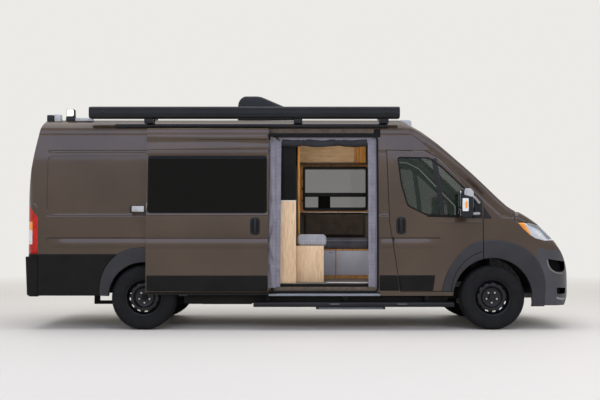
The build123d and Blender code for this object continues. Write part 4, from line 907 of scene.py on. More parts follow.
def cutOut(piece, cutter):
    cut = piece.modifiers.new("cut", "BOOLEAN")
    cut.operation, cut.object, cut.solver, cut.material_mode = "DIFFERENCE", cutter, "EXACT", "TRANSFER"
    settled(piece, 30)
    bpy.data.objects.remove(cutter)
    return piece


# wheel arch flares: three arcs over the wheel, a rolled lip inside, a seam where the door carries its part
flares = {
    "front": (
        frontAxle, 0.457, [(-0.59, 0.393), (-0.494, 0.72), (-0.225, 1.0)], (0.005, 1.037),
        [(0.225, 1.008), (0.494, 0.83)], (0.6, 0.393)
    ),
    "rear": (
        rearAxle, 0.408, [(-0.507, 0.393), (-0.44, 0.72), (-0.26, 0.905)], (0.0, 0.95), [(0.26, 0.905), (0.44, 0.72)],
        (0.507, 0.393)
    ),
}


def arcPoints(a, b, c, steps=18):
    cx, cz, radius = circleThrough(a, b, c)
    angles = [math.atan2(p[1] - cz, p[0] - cx) for p in (a, b, c)]
    for i in (1, 2):
        while angles[i] > angles[0] + 1e-9:
            angles[i] -= 2 * math.pi
    return [
        (cx + radius * math.cos(t), cz + radius * math.sin(t))
        for t in (angles[0] + (angles[2] - angles[0]) * k / steps for k in range(steps + 1))
    ]


def flareEdge(key):
    axle, radius, foot, top, hip, end = flares[key]
    first = arcPoints(*foot)
    second = arcPoints(foot[2], top, hip[0])
    third = arcPoints(hip[0], hip[1], end)
    return [(axle + x, z) for x, z in first + second[1:] + third[1:]]


def flare(name, key, seam):
    axle, radius = flares[key][:2]
    surface = onFlank(right)
    hub = Vector((axle, wheelHeight))
    rings = []
    for x, z in flareEdge(key):
        outer = Vector((x, z))
        inner = hub + (outer - hub).normalized() * radius
        width = (outer - inner).length
        lip = min(0.02 + 0.063 * max(0, (z - 0.393) / 0.6), width * 0.6) / width if seam else 0.3
        gap = 0.0035 / width
        dip = 0.002 if seam else 0.0132
        rows = (
            (0, -0.03), (0, 0.004), (0.012, 0.0105), (0.04, 0.0125), (lip * 0.6, 0.0128), (
                lip - gap, 0.0128
            ), (lip, dip),
            (lip + gap, 0.0132), (lip * 0.5 + 0.45, 0.0134), (0.93, 0.0134), (0.97, 0.0124), (
                0.99, 0.009
            ), (1, 0.004), (1, -0.006),
        )
        rings.append([surface(*inner.lerp(outer, t), lift) for t, lift in rows])
    return loft(name, rings, flarePlastic, angle=30)


doorSeam = (2.1047, 2.1133)
doorFlare = cutAt(flare("doorFlare", "front", True), (doorSeam[0], 0, 0), (1, 0, 0))
doorFlare = cutAt(doorFlare, (0, 0, 0.45), (0, 0, -1))
wingFlare = cutAt(flare("wingFlare", "front", False), (doorSeam[1], 0, 0), (-1, 0, 0))
rearFlare = flare("rearFlare", "rear", False)
seamSide = [(x - 0.004, z) for x, z in flareEdge("rear") if z < 0.872 and x < rearAxle]
claddingOutline = [(-3.0475, 0.399), (-3.0475, 0.874)] + [(-2.13, 0.874)] + seamSide[::-1]
rearCladding = plateOn("rearCladding", dense(claddingOutline, 0.06), 0.0128, onFlank(right), grainedPlastic, 0.008)
trimHeights = (0.452, 0.630)


# rub panel: its ends in x at its foot and at its top
def rubPanel(name, foot, top, surface):
    (a, b), (c, d), (low, high) = foot, top, trimHeights
    return plateOn(
        name, dense(rounded([(a, low), (b, low), (d, high), (c, high)], 0.012, 3)), 0.0125, surface, grainedPlastic,
        0.007
    )


pillarPanel = rubPanel("pillarPanel", (0.909, 1.140), (0.909, 1.1145), onFlank(right))
farPanel = rubPanel("farPanel", (-1.273, 1.140), (-1.303, 1.1145), onFlank(left))
wingFoot = plateOn(
    "wingFoot", dense(rounded([(2.662, 0.3985), (2.821, 0.3985), (2.818, 0.281), (2.674, 0.268)], 0.006, 2), 0.04),
    0.0128, onFlank(right), flarePlastic, 0.006, sunk=0.02, rows=6,
)
splashWall = board("splashWall", 1.76, 2.06, -0.475, -0.465, 0.33, 0.73, grainedPlastic, 0.003)
bodyTrim = joined("bodyTrimRight", [wingFlare, rearFlare, rearCladding, wingFoot, splashWall])
bothSides(bodyTrim, "bodyTrimLeft", stands=["side_trim"])
taken(pillarPanel)
taken(farPanel)

# mirror on two arms: black shell, silver-grey cap and arms, side lamp, two glasses
mirror = {"low": 1.286, "high": 1.621, "rear": 1.808, "front": 1.951, "outer": -1.2765, "inner": -1.067}


def makeMirror():
    rear, front, low, high = (mirror[key] for key in ("rear", "front", "low", "high"))
    shellCorners = [(rear, 1.30), (rear, 1.575), (1.85, high), (1.912, high), (front, 1.58), (front, 1.315)]
    shellOutline = rounded(shellCorners + [(1.922, low), (1.842, low)], 0.02, 4)
    shell = prism("mirrorShell", shellOutline, "y", mirror["outer"], mirror["inner"], satinPlastic, 0.024, 5)
    capOutline = rounded(
        [
            (1.842, 1.548), (1.842, 1.592), (1.86, 1.6235), (1.922, 1.6235), (1.9545, 1.586), (1.9545, 1.53),
            (1.935, 1.522)
        ],
        0.014, 4
    )
    cap = prism("mirrorCap", capOutline, "y", -1.2775, -1.075, paleShell, 0.018, 4)
    lampPlate = prism("sideLamp", roundBox(1.826, 1.895, 1.366, 1.512, 0.01, 4), "y", -1.2792, -1.262, lensMilk, 0.003)
    amberStrip = prism(
        "sideRepeater", roundBox(1.857, 1.883, 1.4, 1.478, 0.009, 4), "y", -1.2794, -1.27, lensAmber, 0.001
    )
    mainGlass = prism(
        "mirrorGlass", roundBox(-1.258, -1.086, 1.41, 1.596, 0.02, 4), "x", 1.8065, 1.815, mirrorGlass, 0.001
    )
    wideGlass = prism(
        "wideGlass", roundBox(-1.258, -1.086, 1.308, 1.396, 0.016, 4), "x", 1.8065, 1.815, mirrorGlass, 0.001
    )
    armTop = tube(
        "armTop",
        curvedPath([(2.085, -0.985, 1.452), (2.035, -1.045, 1.492), (1.985, -1.112, 1.53), (1.92, -1.15, 1.537)]),
        0.0145, paleShell, 14
    )
    armLow = tube(
        "armLow",
        curvedPath([(2.085, -0.985, 1.345), (2.03, -1.04, 1.343), (1.97, -1.11, 1.34), (1.91, -1.15, 1.338)]), 0.0165,
        paleShell, 14
    )
    upright = tube(
        "armUpright", [(1.962, -1.122, 1.338), (1.964, -1.125, 1.44), (1.962, -1.128, 1.533)], 0.0125, paleShell, 14
    )
    knuckles = [
        turned(
            "armKnuckle", [(0, -0.022), (0.016, -0.02), (0.021, -0.01), (0.021, 0.01), (0.016, 0.02), (0, 0.022)],
            (x, -1.12, z), paleShell, 24, closed=False
        )
        for x, z in ((1.962, 1.338), (1.962, 1.533))
    ]
    base = prism(
        "mirrorBase", rounded([(2.052, 1.303), (2.099, 1.303), (2.099, 1.468), (2.052, 1.507)], 0.01, 3), "y", -1.019,
        -0.985, satinPlastic, 0.006
    )
    corner = [(2.006, 1.292), (2.006, 1.548), (2.028, 1.527), (2.0985, 1.46), (2.0985, 1.292)]
    sail = plateOn(
        "doorSail", dense(rounded(corner, 0.012, 3), 0.03), 0.006, onFlank(right), satinPlastic, 0.008, rows=8
    )
    return [shell, cap, lampPlate, amberStrip, mainGlass, wideGlass, armTop, armLow, upright, base, sail, *knuckles]


def makeHandle(x, z, surface):
    plate = plateOn(
        "handlePlate", roundBox(x - 0.058, x + 0.058, z - 0.103, z + 0.103, 0.052, 7), 0.007, surface, satinPlastic,
        0.01, rows=6
    )
    dish = plateOn(
        "handleDish", roundBox(x - 0.044, x + 0.044, z - 0.085, z + 0.085, 0.04, 7), 0.0078, surface, sealRubber,
        0.004, rows=4
    )
    rings = []
    for k in range(17):
        t = k / 16
        height = z - 0.084 + 0.168 * t
        lift = 0.0105 + 0.0125 * math.sin(math.pi * t) ** 0.5
        half = 0.0165 * (0.8 + 0.2 * math.sin(math.pi * t) ** 0.6)
        ring = []
        for j in range(12):
            a = 2 * math.pi * j / 12
            ring.append(surface(x + half * math.cos(a), height, lift - 0.007 + 0.007 * math.sin(a)))
        rings.append(ring)
    grip = loft("handleGrip", rings, satinPlastic, angle=50)
    return [plate, dish, grip]


doorPanel = rubPanel("doorPanel", (1.153, 1.526), (1.128, 1.551), onFlank(right))
doorTrim = joined("doorTrimRight", [doorFlare, doorPanel, *makeMirror(), *makeHandle(1.159, 1.205, onFlank(right))])
bothSides(doorTrim, "doorTrimLeft", "front_door_right", stands=["front_door_right_trim"])

# front door windows: rubber round the glass and the bar that divides it
windowOutline = rounded(
    [
        (1.118, 2.008), (1.491, 2.0), (1.644, 1.893), (2.051, 1.5), (2.051, 1.303), (1.452, 1.32), (1.231, 1.43),
        (1.156, 1.69)
    ],
    0.045, 6)
for side, name in sides:
    surface = onFlank(side)
    rubber = bandOn("windowRubber", dense(windowOutline, 0.04), 0.017, 0.0022, surface, sealRubber, 0.012)
    bar = stripOn(
        "divisionBar", [(1.549, 1.985), (1.566, 1.88), (1.587, 1.74), (1.607, 1.6), (1.625, 1.45), (1.637, 1.318)],
        0.058, 0.0018, surface, satinPlastic
    )
    beltRubber = stripOn(
        "beltRubber", [(2.05, 1.296), (1.85, 1.302), (1.6, 1.309), (1.46, 1.312)], 0.014, 0.004, surface, sealRubber
    )
    seals = joined("doorWindowSeals" + name, [rubber, bar, beltRubber])
    taken(seals, "front_door_" + name.lower())
    sailSkin = onSkin(["body_side_" + name.lower(), "front_panels", "front_bulkhead"], "y", side, side * 1.0)
    sail = plateOn(
        "wingSail" + name, rounded([(2.116, 1.285), (2.116, 1.425), (2.208, 1.294), (2.2, 1.285)], 0.006, 3), 0.003,
        sailSkin, satinPlastic, 0.003, rows=5
    )
    taken(sail)
print("flares, mirrors, handles and door windows made")

# windscreen pillars: rounded covers that run from the roof to the wing beside the glass
pillarLine = [  # x, z of the edge seen from the side, and how far it stands over the solid there
    (1.17, 2.421, 0.0), (1.24, 2.397, 0.012), (1.30, 2.371, 0.026), (1.40, 2.311, 0.045), (1.50, 2.239, 0.058), (
        1.60, 2.162, 0.062
    ),
    (1.70, 2.076, 0.06), (1.80, 1.987, 0.056), (1.90, 1.899, 0.052), (2.00, 1.808, 0.05), (2.10, 1.712, 0.05), (
        2.20, 1.614, 0.055
    ),
    (2.30, 1.516, 0.058), (2.39, 1.435, 0.054), (2.45, 1.395, 0.048), (2.487, 1.374, 0.036),
]
pillarSkin = onSkin(["body_side_right", "front_panels", "roof_panel"], "y", right, -0.9)
reachOver = 0.055  # how far below the solid's own edge the cover comes to rest on it
pillarRings = []
for i, (x, z, stand) in enumerate(pillarLine):
    before, after = pillarLine[max(i - 1, 0)], pillarLine[min(i + 1, len(pillarLine) - 1)]
    slope = Vector((after[0] - before[0], after[1] - before[1])).normalized()
    outward = Vector((-slope.y, slope.x))
    rest = Vector((x, z)) - outward * (stand + reachOver)
    # the solid rounds away from the flank by this much
    fall = max(flankY(rest.y) + pillarSkin(rest.x, rest.y, 0.0)[1], 0.0)
    section = [
        (stand + reachOver + 0.008, -0.004), (stand + reachOver, 0.0006), (stand + 0.042, 0.0007),
        (stand + 0.03, 0.0008)
    ]
    section += [
        (stand + 0.016, 0.0006), (stand * 0.7 + 0.008, 0.0002), (stand * 0.4 + 0.008, -0.003), (0.014, -0.011), (
            0.007, -0.022
        ),
        (0.002, -0.038), (0.0, -0.058), (0.002, -0.08), (0.008, -0.1), (0.02, -0.118), (stand * 0.5 + 0.02, -0.13), (
            stand + 0.06, -0.138
        ),
    ]
    ring = []
    for k, (depth, lift) in enumerate(section):
        place = Vector((x, z)) - outward * depth
        share = min(max((depth - stand - 0.012) / (reachOver - 0.012), 0), 1) if k < 7 else 0
        ring.append((place.x, -(flankY(place.y) - fall * share * share * (3 - 2 * share) + lift), place.y))
    pillarRings.append(ring)
pillarCover = loft("pillarCoverRight", pillarRings, bodyPaint, closedRing=False, capped=False, angle=50)
bothSides(pillarCover, "pillarCoverLeft")

# dark plastic skirts under the sills, painted shade that fills the shadowed gap under the body, corners of the rear
# bumper, rubber behind the front door's seam
sillShadeOutline = [(-1.36, 0.302), (-1.36, 0.395), (1.72, 0.395), (1.69, 0.302)]
rearSeam = [(1.004, 2.075), (1.008, 1.6), (1.03, 1.257), (1.09, 0.86), (1.148, 0.46)]
for side, name in sides:
    # each skirt is a dark sheet standing where there is only the shade under the body: painted shade
    skirt = prism("sillSkirt" + name, sillShadeOutline, "y", side * 0.936, side * 0.926, grainedPlastic, 0.003)
    taken(skirt)
    corner = []
    for z in (0.399, 0.401, 0.44, 0.6, 0.75, 0.82, 0.838, 0.845):
        rear = -3.174 - 0.024 * (z - 0.4) / 0.43
        flank = flankY(z)
        pull = 0.012 if z > 0.84 or z < 0.4 else 0.0
        plan = [
            (-3.049, flank - 0.01), (-3.049, flank + 0.0125 - pull), (-3.12, flank + 0.0125 - pull),
            (-3.155, flank + 0.002 - pull)
        ]
        plan += [
            (-3.18 - (rear + 3.18) * -0.6, flank - 0.02 - pull), (rear + pull, flank - 0.055), (rear + pull, 0.84),
            (rear + 0.03, 0.815), (rear + 0.06, 0.83)
        ]
        corner.append([(x, side * y, z) for x, y in plan])
    cornerPiece = loft("bumperCorner" + name, corner, grainedPlastic, angle=40)
    taken(cornerPiece)
    seamSeal = stripOn("doorSeamSeal" + name, rearSeam, 0.03, -0.046, onFlank(side), sealRubber)
    taken(seamSeal)
print("pillars, skirts and corners made")

# sliding door: rub panel, handle, cover of the middle roller arm, edge of its flush glass
slidFlank = onFlank(right, slideOut)
slidShell = solidCopy("sliding_door", "slidingDoorShell", bodyPaint, 0.05)
slidShell = cutAt(slidShell, (-0.3742, 0, 0), (1, 0, 0))
slidShell = cutAt(slidShell, (-1.7868, 0, 0), (-1, 0, 0))
lineInside(slidShell.data, liningBoard)
taken(slidShell, "van", ["sliding_door"])
slidArms = [
    board("rollerArmTop", -0.385, -0.268, -1.07, -0.985, 2.2385, 2.2575, sealRubber, 0.003),
    board("rollerArmLow", -0.385, -0.275, -1.065, -0.98, 0.4365, 0.4505, sealRubber, 0.003),
]
# black strip along the sliding door's foot: painted shade, where the door's lower edge curves under into shadow
slidFootShade = plateOn(
    "slidingDoorFoot", dense(roundBox(-1.785, -0.376, 0.4135, 0.4385, 0.006, 2), 0.08), 0.0025, slidFlank, sealRubber,
    0.004, rows=3
)
fitted("slidingDoorArms", [*slidArms, slidFootShade])
slidPanel = rubPanel("slidingDoorPanel", (-1.7745, -0.3865), (-1.7745, -0.3865), slidFlank)
slidTrim = joined("slidingDoorTrim", [slidPanel, *makeHandle(-0.529, 1.197, slidFlank)])
taken(slidTrim, stands=["sliding_door_trim"])
armCover = board("rollerArmCover", -1.952, -1.800, -1.1, -1.022, 1.3625, 1.4275, paleShell, 0.008, 3)
armEnds = [
    board("rollerArmEnd", x0, x1, -1.1015, -1.018, 1.355, 1.4335, satinPlastic, 0.006, 2) for x0,
    x1 in ((-1.968, -1.944), (-1.808, -1.786))
]
fitted("rollerArm", [armCover, *armEnds])
slidGlassEdge = bandOn(
    "slidGlassEdge", dense(roundBox(-1.769, -0.392, 1.346, 2.008, 0.04, 5)), 0.012, 0.0012, slidFlank, sealRubber, 0.006
)
taken(slidGlassEdge)
farGlassEdge = bandOn(
    "farGlassEdge", dense(roundBox(0.026, 0.906, 1.45, 2.0, 0.05, 5)), 0.016, 0.0012, onFlank(left), sealRubber, 0.01
)
farGlassBar = stripOn(
    "farGlassBar", [(0.03, 1.636), (0.466, 1.636), (0.902, 1.636)], 0.03, 0.0012, onFlank(left), sealRubber
)
fitted("farGlassRubber", [farGlassEdge, farGlassBar])

# raised edges pressed into the flank, each facing a little upwards: top, foot, stand and section
pressedStep = ((0, -0.004), (0, 0.0005), (0.3, 0.3), (0.6, 0.64), (0.82, 0.93), (0.92, 0.9), (0.98, 0.4), (1, -0.004))
softCrease = ((0, -0.004), (0, 0.0005), (0.25, 0.5), (0.47, 0.96), (0.53, 1.0), (0.6, 0.94), (0.8, 0.5), (1, -0.004))
swages = {
    "waist": (1.052, 0.93, 0.0125, softCrease),
    "belt": (1.344, 1.320, 0.0042, pressedStep),
    "crown": (2.077, 2.054, 0.0038, pressedStep),
    "shelf": (1.281, 1.231, 0.0055, pressedStep),
}


def swage(key, x0, x1, surface, starts=0.004, ends=0.004):
    top, low, stand, section = swages[key]
    rings = []
    count = max(6, int((x1 - x0) / 0.05))
    for k in range(count + 1):
        x = x0 + (x1 - x0) * k / count
        share = min(1, (x - x0 + 0.004) / starts, (x1 - x + 0.004) / ends)
        rings.append([surface(x, top + (low - top) * t, h * stand * share if h > 0.001 else h) for t, h in section])
    return loft("swage", rings, bodyPaint, angle=40)


rightSwages = [swage("waist", -2.925, -1.797, onFlank(right), 0.15), swage("belt", -2.93, -1.797, onFlank(right), 0.08)]
rightSwages += [swage("crown", -2.9, -1.797, onFlank(right), 0.1), swage("crown", -1.78, -0.381, slidFlank)]
rightSwages += [swage("waist", -1.78, -0.381, slidFlank), swage("belt", -1.78, -0.381, slidFlank)]
rightSwages += [swage("waist", 0.928, 1.057, onFlank(right)), swage("belt", 0.928, 1.012, onFlank(right))]
taken(joined("swagesRight", rightSwages), "van")
leftSwages = [swage("waist", -2.925, 1.057, onFlank(left), 0.15), swage("belt", -2.93, 1.012, onFlank(left), 0.08)]
fitted("swagesLeft", [*leftSwages, swage("crown", -2.9, 0.985, onFlank(left), 0.1)], "van")
doorSwages = joined(
    "doorSwagesRight",
    [swage("waist", 1.084, 1.75, onFlank(right), ends=0.3), swage("shelf", 1.5, 2.094, onFlank(right), starts=0.2)]
)
bothSides(doorSwages, "doorSwagesLeft", "front_door_right")
print("swages made")

# doorway: rubber round the opening, track cover above, steel kick plate on the sill, floor edge
doorway = {"rear": -0.35, "front": 0.901, "low": 0.43, "high": 2.258}
opening = dense(roundBox(doorway["rear"], doorway["front"], doorway["low"], doorway["high"], 0.06, 6), 0.08)
openingRubber = bandOn("doorwayRubber", opening, 0.02, 0.006, onFlank(right), sealRubber, 0.03)
trackCover = plateOn(
    "trackCover", dense(box2(-0.372, 0.927, 2.236, 2.283), 0.06), 0.0065, onFlank(right), sealRubber, 0.004, rows=3
)
# brown strip along the track's face above the opening: a painted reflection of the track's painted face, in
# carpet-coloured material
trackFace = plateOn(
    "trackFace", dense(box2(-0.372, 0.84, 2.2845, 2.333), 0.06), 0.002, onFlank(right), sillCarpet, 0.003, rows=3
)
trackEnd = plateOn(
    "trackEnd", dense([(0.845, 2.284), (0.928, 2.284), (0.928, 2.332), (0.855, 2.332)], 0.03), 0.004, onFlank(right),
    sealRubber, 0.004, rows=3
)
kickPlate = plateOn(
    "kickPlate", dense(box2(-0.375, 0.915, 0.388, 0.417), 0.1), 0.004, onFlank(right), brushedSteel, 0.005, rows=4
)
sillRubber = plateOn(
    "sillRubber", dense(box2(-0.375, 0.915, 0.419, 0.4345), 0.1), 0.008, onFlank(right), sealRubber, 0.004, rows=3
)
stepCarpet = board("stepCarpet", -0.335, 0.885, -0.985, -0.945, 0.432, 0.494, sillCarpet, 0.006)
floorEdge = board("floorEdge", -0.34, 0.885, -0.9455, -0.93, 0.4945, 0.527, sealRubber, 0.003)
threshold = board("threshold", 0.30, 0.885, -0.93, -0.896, 0.5395, 0.5455, whiteLaminate)
# black strip over the body's sill under the sliding door: painted shade, where the sill lies in the door's shadow
doorFootShade = plateOn(
    "slidDoorFoot", dense(box2(-1.36, -0.378, 0.392, 0.4125), 0.1), 0.003, onFlank(right), sealRubber, 0.003, rows=3
)
doorwayEdges = [
    doorFootShade, openingRubber, trackCover, trackFace, trackEnd, kickPlate, sillRubber, stepCarpet, floorEdge, threshold
]
taken(joined("doorwayEdges", doorwayEdges))
print("sliding door and doorway made")

# headlamps and tail lamps: a lens cut from the outer skin of the solid, with plated reflectors behind


def outerSkin(node, name, insidePoint, finishes, flat=False):
    mesh = nodes[node].data.copy()
    with edited(mesh, 1e-5) as work:
        gone = []
        for face in work.faces:
            centre = face.calc_center_median()
            inside = (insidePoint[0], math.copysign(insidePoint[1], centre.y), centre.z if flat else insidePoint[2])
            if face.normal.dot((centre - Vector(inside)).normalized()) < 0.35:
                gone.append(face)
        bmesh.ops.delete(work, geom=gone, context="FACES")
    smoothed(mesh, 60)
    painted(mesh, *finishes)
    return newPiece(name, mesh, None)


def shrunk(piece, name, distance, material):
    mesh = piece.data.copy()
    normals = [v.normal.copy() for v in mesh.vertices]
    for vertex, normal in zip(mesh.vertices, normals):
        vertex.co -= normal * distance
    return newPiece(name, mesh, material)


def walled(piece, thickness):
    wall = piece.modifiers.new("wall", "SOLIDIFY")
    wall.thickness, wall.offset = thickness, -1
    return settled(piece)


def sliced(piece, cuts):
    with edited(piece.data) as work:
        for point, normal in cuts:
            everything = work.verts[:] + work.edges[:] + work.faces[:]
            bmesh.ops.bisect_plane(work, geom=everything, plane_co=point, plane_no=normal)
    return piece


amberPoint, amberWay = Vector((2.62, 0, 1.17)), Vector((0.88, 0, 0.475))  # the lens is amber behind this plane
headLens = outerSkin("headlamps", "headlampLenses", (2.3, 0.3, 0.98), (lensClear, lensAmber))
sliced(headLens, [(amberPoint, amberWay)])
for face in headLens.data.polygons:
    face.material_index = 1 if (face.center - amberPoint).dot(amberWay) < 0 else 0
headBack = shrunk(headLens, "headlampBack", 0.045, reflectorMetal)
walled(headLens, 0.003)
bowls = []
for side in (right, left):
    for x, y, z, radius in ((2.845, 0.655, 1.095, 0.064), (2.765, 0.775, 1.12, 0.058)):
        profile = [
            (radius, 0.0), (radius * 0.97, -0.006), (radius * 0.85, 0.026), (radius * 0.55, 0.05),
            (radius * 0.24, 0.06), (0.0, 0.062)
        ]
        bowl = turned("lampBowl", profile, (0, 0, 0), reflectorMetal, 40, closed=False)
        bulb = turned(
            "lampBulb", [(0.0, -0.004), (0.012, 0.0), (0.018, 0.012), (0.018, 0.03), (0.0, 0.034)], (0, 0, 0),
            lensMilk, 24, closed=False
        )
        for piece in (bowl, bulb):
            piece.data.transform(
                Matrix.Translation((x, side * y, z)) @ Matrix.Rotation(math.radians(-62 * side), 4, "Z")
                @ Matrix.Rotation(math.radians(-90 * side + 90), 4, "Z")
            )
            bowls.append(piece)
headlamps = joined("headlampSet", [headLens, headBack, *bowls])
taken(headlamps, "van", ["headlamps"])

tailBands = {"inner": -3.113, "amberTop": 1.25, "clearTop": 1.15, "clearFoot": 0.988}
slantPoint, slantWay = Vector((-3.12, 0, 1.385)), Vector((0.775, 0, 0.632))
tailLens = outerSkin("tail_lamps", "tailLampLenses", (-2.7, 0.55, 1.2), (lensRed, lensAmber, lensMilk, bodyPaint), True)
tailCuts = [(slantPoint, slantWay), ((tailBands["inner"], 0, 0), (1, 0, 0))]
sliced(tailLens, tailCuts + [((0, 0, tailBands[key]), (0, 0, 1)) for key in ("amberTop", "clearTop", "clearFoot")])
for face in tailLens.data.polygons:
    c = face.center
    inBand = c.x < tailBands["inner"] and tailBands["clearFoot"] < c.z < tailBands["amberTop"]
    face.material_index = (1 if c.z > tailBands["clearTop"] else 2) if inBand else 0
    if (c - slantPoint).dot(slantWay) > 0:
        face.material_index = 3
tailBack = shrunk(tailLens, "tailLampBack", 0.02, reflectorMetal)
walled(tailLens, 0.003)
fitted("tailLampSet", [tailLens, tailBack], "van", ["tail_lamps"])
for side, name in sides:
    corner = [(-3.045, 1.303), (-3.045, 1.466), (-3.15, 1.466), (-3.15, 1.432)]
    taken(
        plateOn(
            "lampCorner" + name, dense(corner, 0.02), 0.003, onSkin(["tail_lamps"], "y", side), bodyPaint, 0.002, rows=6
        ),
        "van"
    )
print("lamps made")

# front: openings in the bumper's corners, wipers, screen edge
bumper = solidCopy("front_bumper", "frontBumperShell", bumperPlastic, 0.02)
openings = [  # outline seen from the side, and how far from the middle the opening's floor is
    (
        rounded(
            [
                (2.853, 0.822), (2.93, 0.806), (3.075, 0.788), (3.085, 0.70), (3.05, 0.668), (2.965, 0.668),
                (2.90, 0.70), (2.868, 0.752)
            ],
            0.02, 4
        ),
        0.80
    ),
    (rounded([(2.962, 0.487), (2.962, 0.42), (2.985, 0.41), (3.085, 0.413), (3.09, 0.48)], 0.012, 4), 0.84),
]
bumperExtras = []
for side in (right, left):
    skin = onSkin(["front_bumper"], "y", side, side * 0.6)
    for outline, floor in openings:
        cutOut(bumper, prism("opening", outline, "y", side * 1.2, side * floor, sealRubber, 0))
        bumperExtras.append(
            prism("openingFloor", inset(outline, -0.006), "y", side * floor, side * (floor - 0.006), sealRubber, 0.001)
        )
    # the opening's lip takes the paler plastic, whose pale grey is a painted highlight
    lip = [(2.846, 0.812), (2.852, 0.765), (2.878, 0.705), (2.93, 0.666), (2.99, 0.652), (3.05, 0.65)]
    bumperExtras.append(
        stripOn(
            "openingLip", [tuple(p) for p in (v.to_2d() for v in curvedPath([(x, z, 0) for x, z in lip], 5))], 0.018,
            0.009, skin, lipPaintedHighlight
        )
    )
    bumperExtras.append(
        stripOn(
            "lowerLip", [(2.955, 0.372), (2.99, 0.36), (3.03, 0.353), (3.07, 0.353)], 0.022, 0.004, skin, brushedSteel
        )
    )
taken(bumper, stands=["front_bumper"])
taken(joined("bumperLips", bumperExtras))
screenSkin = onSkin(["windscreen", "front_bulkhead", "roof_panel"], "x", 1, 2.2)
frit = bandOn(
    "screenFrit", dense(rounded([(-0.866, 1.412), (0.866, 1.412), (0.797, 2.321), (-0.797, 2.321)], 0.07, 6), 0.05),
    0.05, 0.0007, screenSkin, sealRubber, 0.002
)
wipers = []
for pivot, reach in ((-0.58, 0.62), (0.06, 0.62)):
    blade = [(pivot + reach * k / 12, 1.445 + 0.05 * math.sin(math.pi * k / 12)) for k in range(1, 13)]
    wipers.append(tube("wiperBlade", [screenSkin(y, z, 0.012) for y, z in blade], 0.006, sealRubber, 8))
    arm = [(pivot, 1.385), (pivot + 0.1, 1.41), (pivot + 0.22, 1.455), (pivot + reach * 0.55, 1.488)]
    wipers.append(
        tube(
            "wiperArm", curvedPath([screenSkin(y, z, lift) for (y, z), lift in zip(arm, (0.02, 0.03, 0.03, 0.02))], 5),
            0.0085, satinPlastic, 8
        )
    )
fitted("wipersAndFrit", [frit, *wipers])
frontSkin = onSkin(["front_bumper", "grille", "front_panels"], "x", 1, 3.15)
platePlace = plateOn(
    "frontPlate", dense(roundBox(-0.26, 0.26, 0.585, 0.675, 0.008, 3), 0.04), 0.004, frontSkin, plateSheet, 0.003,
    rows=4
)
taken(platePlace)
print("front made")

# back doors: window rubber, handle, plate place, high lamp
for side, name in ((right, "right"), (left, "left")):
    skin = onSkin(["rear_door_" + name, "rear_door_" + name + "_glass"], "x", -1, -3.18)
    windowBand = bandOn(
        "rearWindowRubber",
        dense(
            rounded(
                [(side * 0.69, 1.33), (side * 0.11, 1.33), (side * 0.11, 2.01), (side * 0.69, 2.01)][:: side], 0.05, 6
            ),
            0.05
        ),
        0.02, 0.002, skin, sealRubber, 0.012
    )
    extras = [windowBand]
    if side == right:
        extras.append(
            plateOn(
                "rearHandle", roundBox(-0.125, -0.05, 1.02, 1.19, 0.03, 5), 0.008, skin, satinPlastic, 0.008, rows=4
            )
        )
        extras.append(
            tube(
                "rearGrip",
                [skin(-0.088, 1.035 + 0.14 * k / 8, 0.013 + 0.008 * math.sin(math.pi * k / 8)) for k in range(9)],
                0.011, satinPlastic, 10
            )
        )
    else:
        extras.append(
            plateOn("plateRecess", roundBox(0.13, 0.69, 0.80, 0.955, 0.02, 4), 0.004, skin, satinPlastic, 0.006, rows=4)
        )
        extras.append(
            plateOn("rearPlate", roundBox(0.15, 0.67, 0.822, 0.934, 0.008, 3), 0.006, skin, plateSheet, 0.003, rows=4)
        )
    extras.append(
        plateOn(
            "highLamp",
            rounded(
                [(side * 0.05, 2.255), (side * 0.05, 2.29), (side * 0.3, 2.29), (side * 0.3, 2.255)][:: -side], 0.01, 3
            ),
            0.006, skin, lensRed, 0.004, rows=3
        )
    )
    taken(joined("rearDoorTrim_" + name, extras), "rear_door_" + name)
cameraHousing = board("rearCamera", -3.176, -3.14, -0.045, 0.045, 2.345, 2.395, satinPlastic, 0.01, 3)
taken(cameraHousing)
stepSkin = onSkin(["rear_bumper"], "x", -1, -3.2)
stepTread = plateOn(
    "rearStepTread", dense(roundBox(-0.6, 0.6, 0.425, 0.505, 0.015, 3), 0.05), 0.0003, stepSkin, sealRubber, 0.0002,
    rows=3
)
taken(stepTread)
print("back made")

# awning cassette: extruded case with a front bar, end caps and roof brackets
awningSizes = {"rear": -2.462, "front": 1.147, "brackets": (-1.775, -0.035, 0.97), "legs": (-2.30, 1.0)}


def awningRing(x, grow=0.0):
    profile = [
        (-0.925, 2.451), (-1.0, 2.451), (-1.026, 2.453), (-1.04, 2.463), (-1.048, 2.478), (-1.0495, 2.492), (
            -1.0465, 2.494
        ),
        (-1.0465, 2.499), (-1.05, 2.501), (-1.05, 2.548), (-1.0465, 2.55), (-1.0465, 2.555), (-1.0495, 2.557), (
            -1.047, 2.57
        ),
        (-1.036, 2.582), (-1.018, 2.586), (-0.985, 2.584), (-0.98, 2.58), (-0.965, 2.58), (-0.96, 2.584), (
            -0.932, 2.578
        ), (-0.925, 2.57),
    ]
    middle = Vector((-0.9875, 2.5185))
    return [(x, *(middle + (Vector(p) - middle) * (1 + grow))) for p in profile]


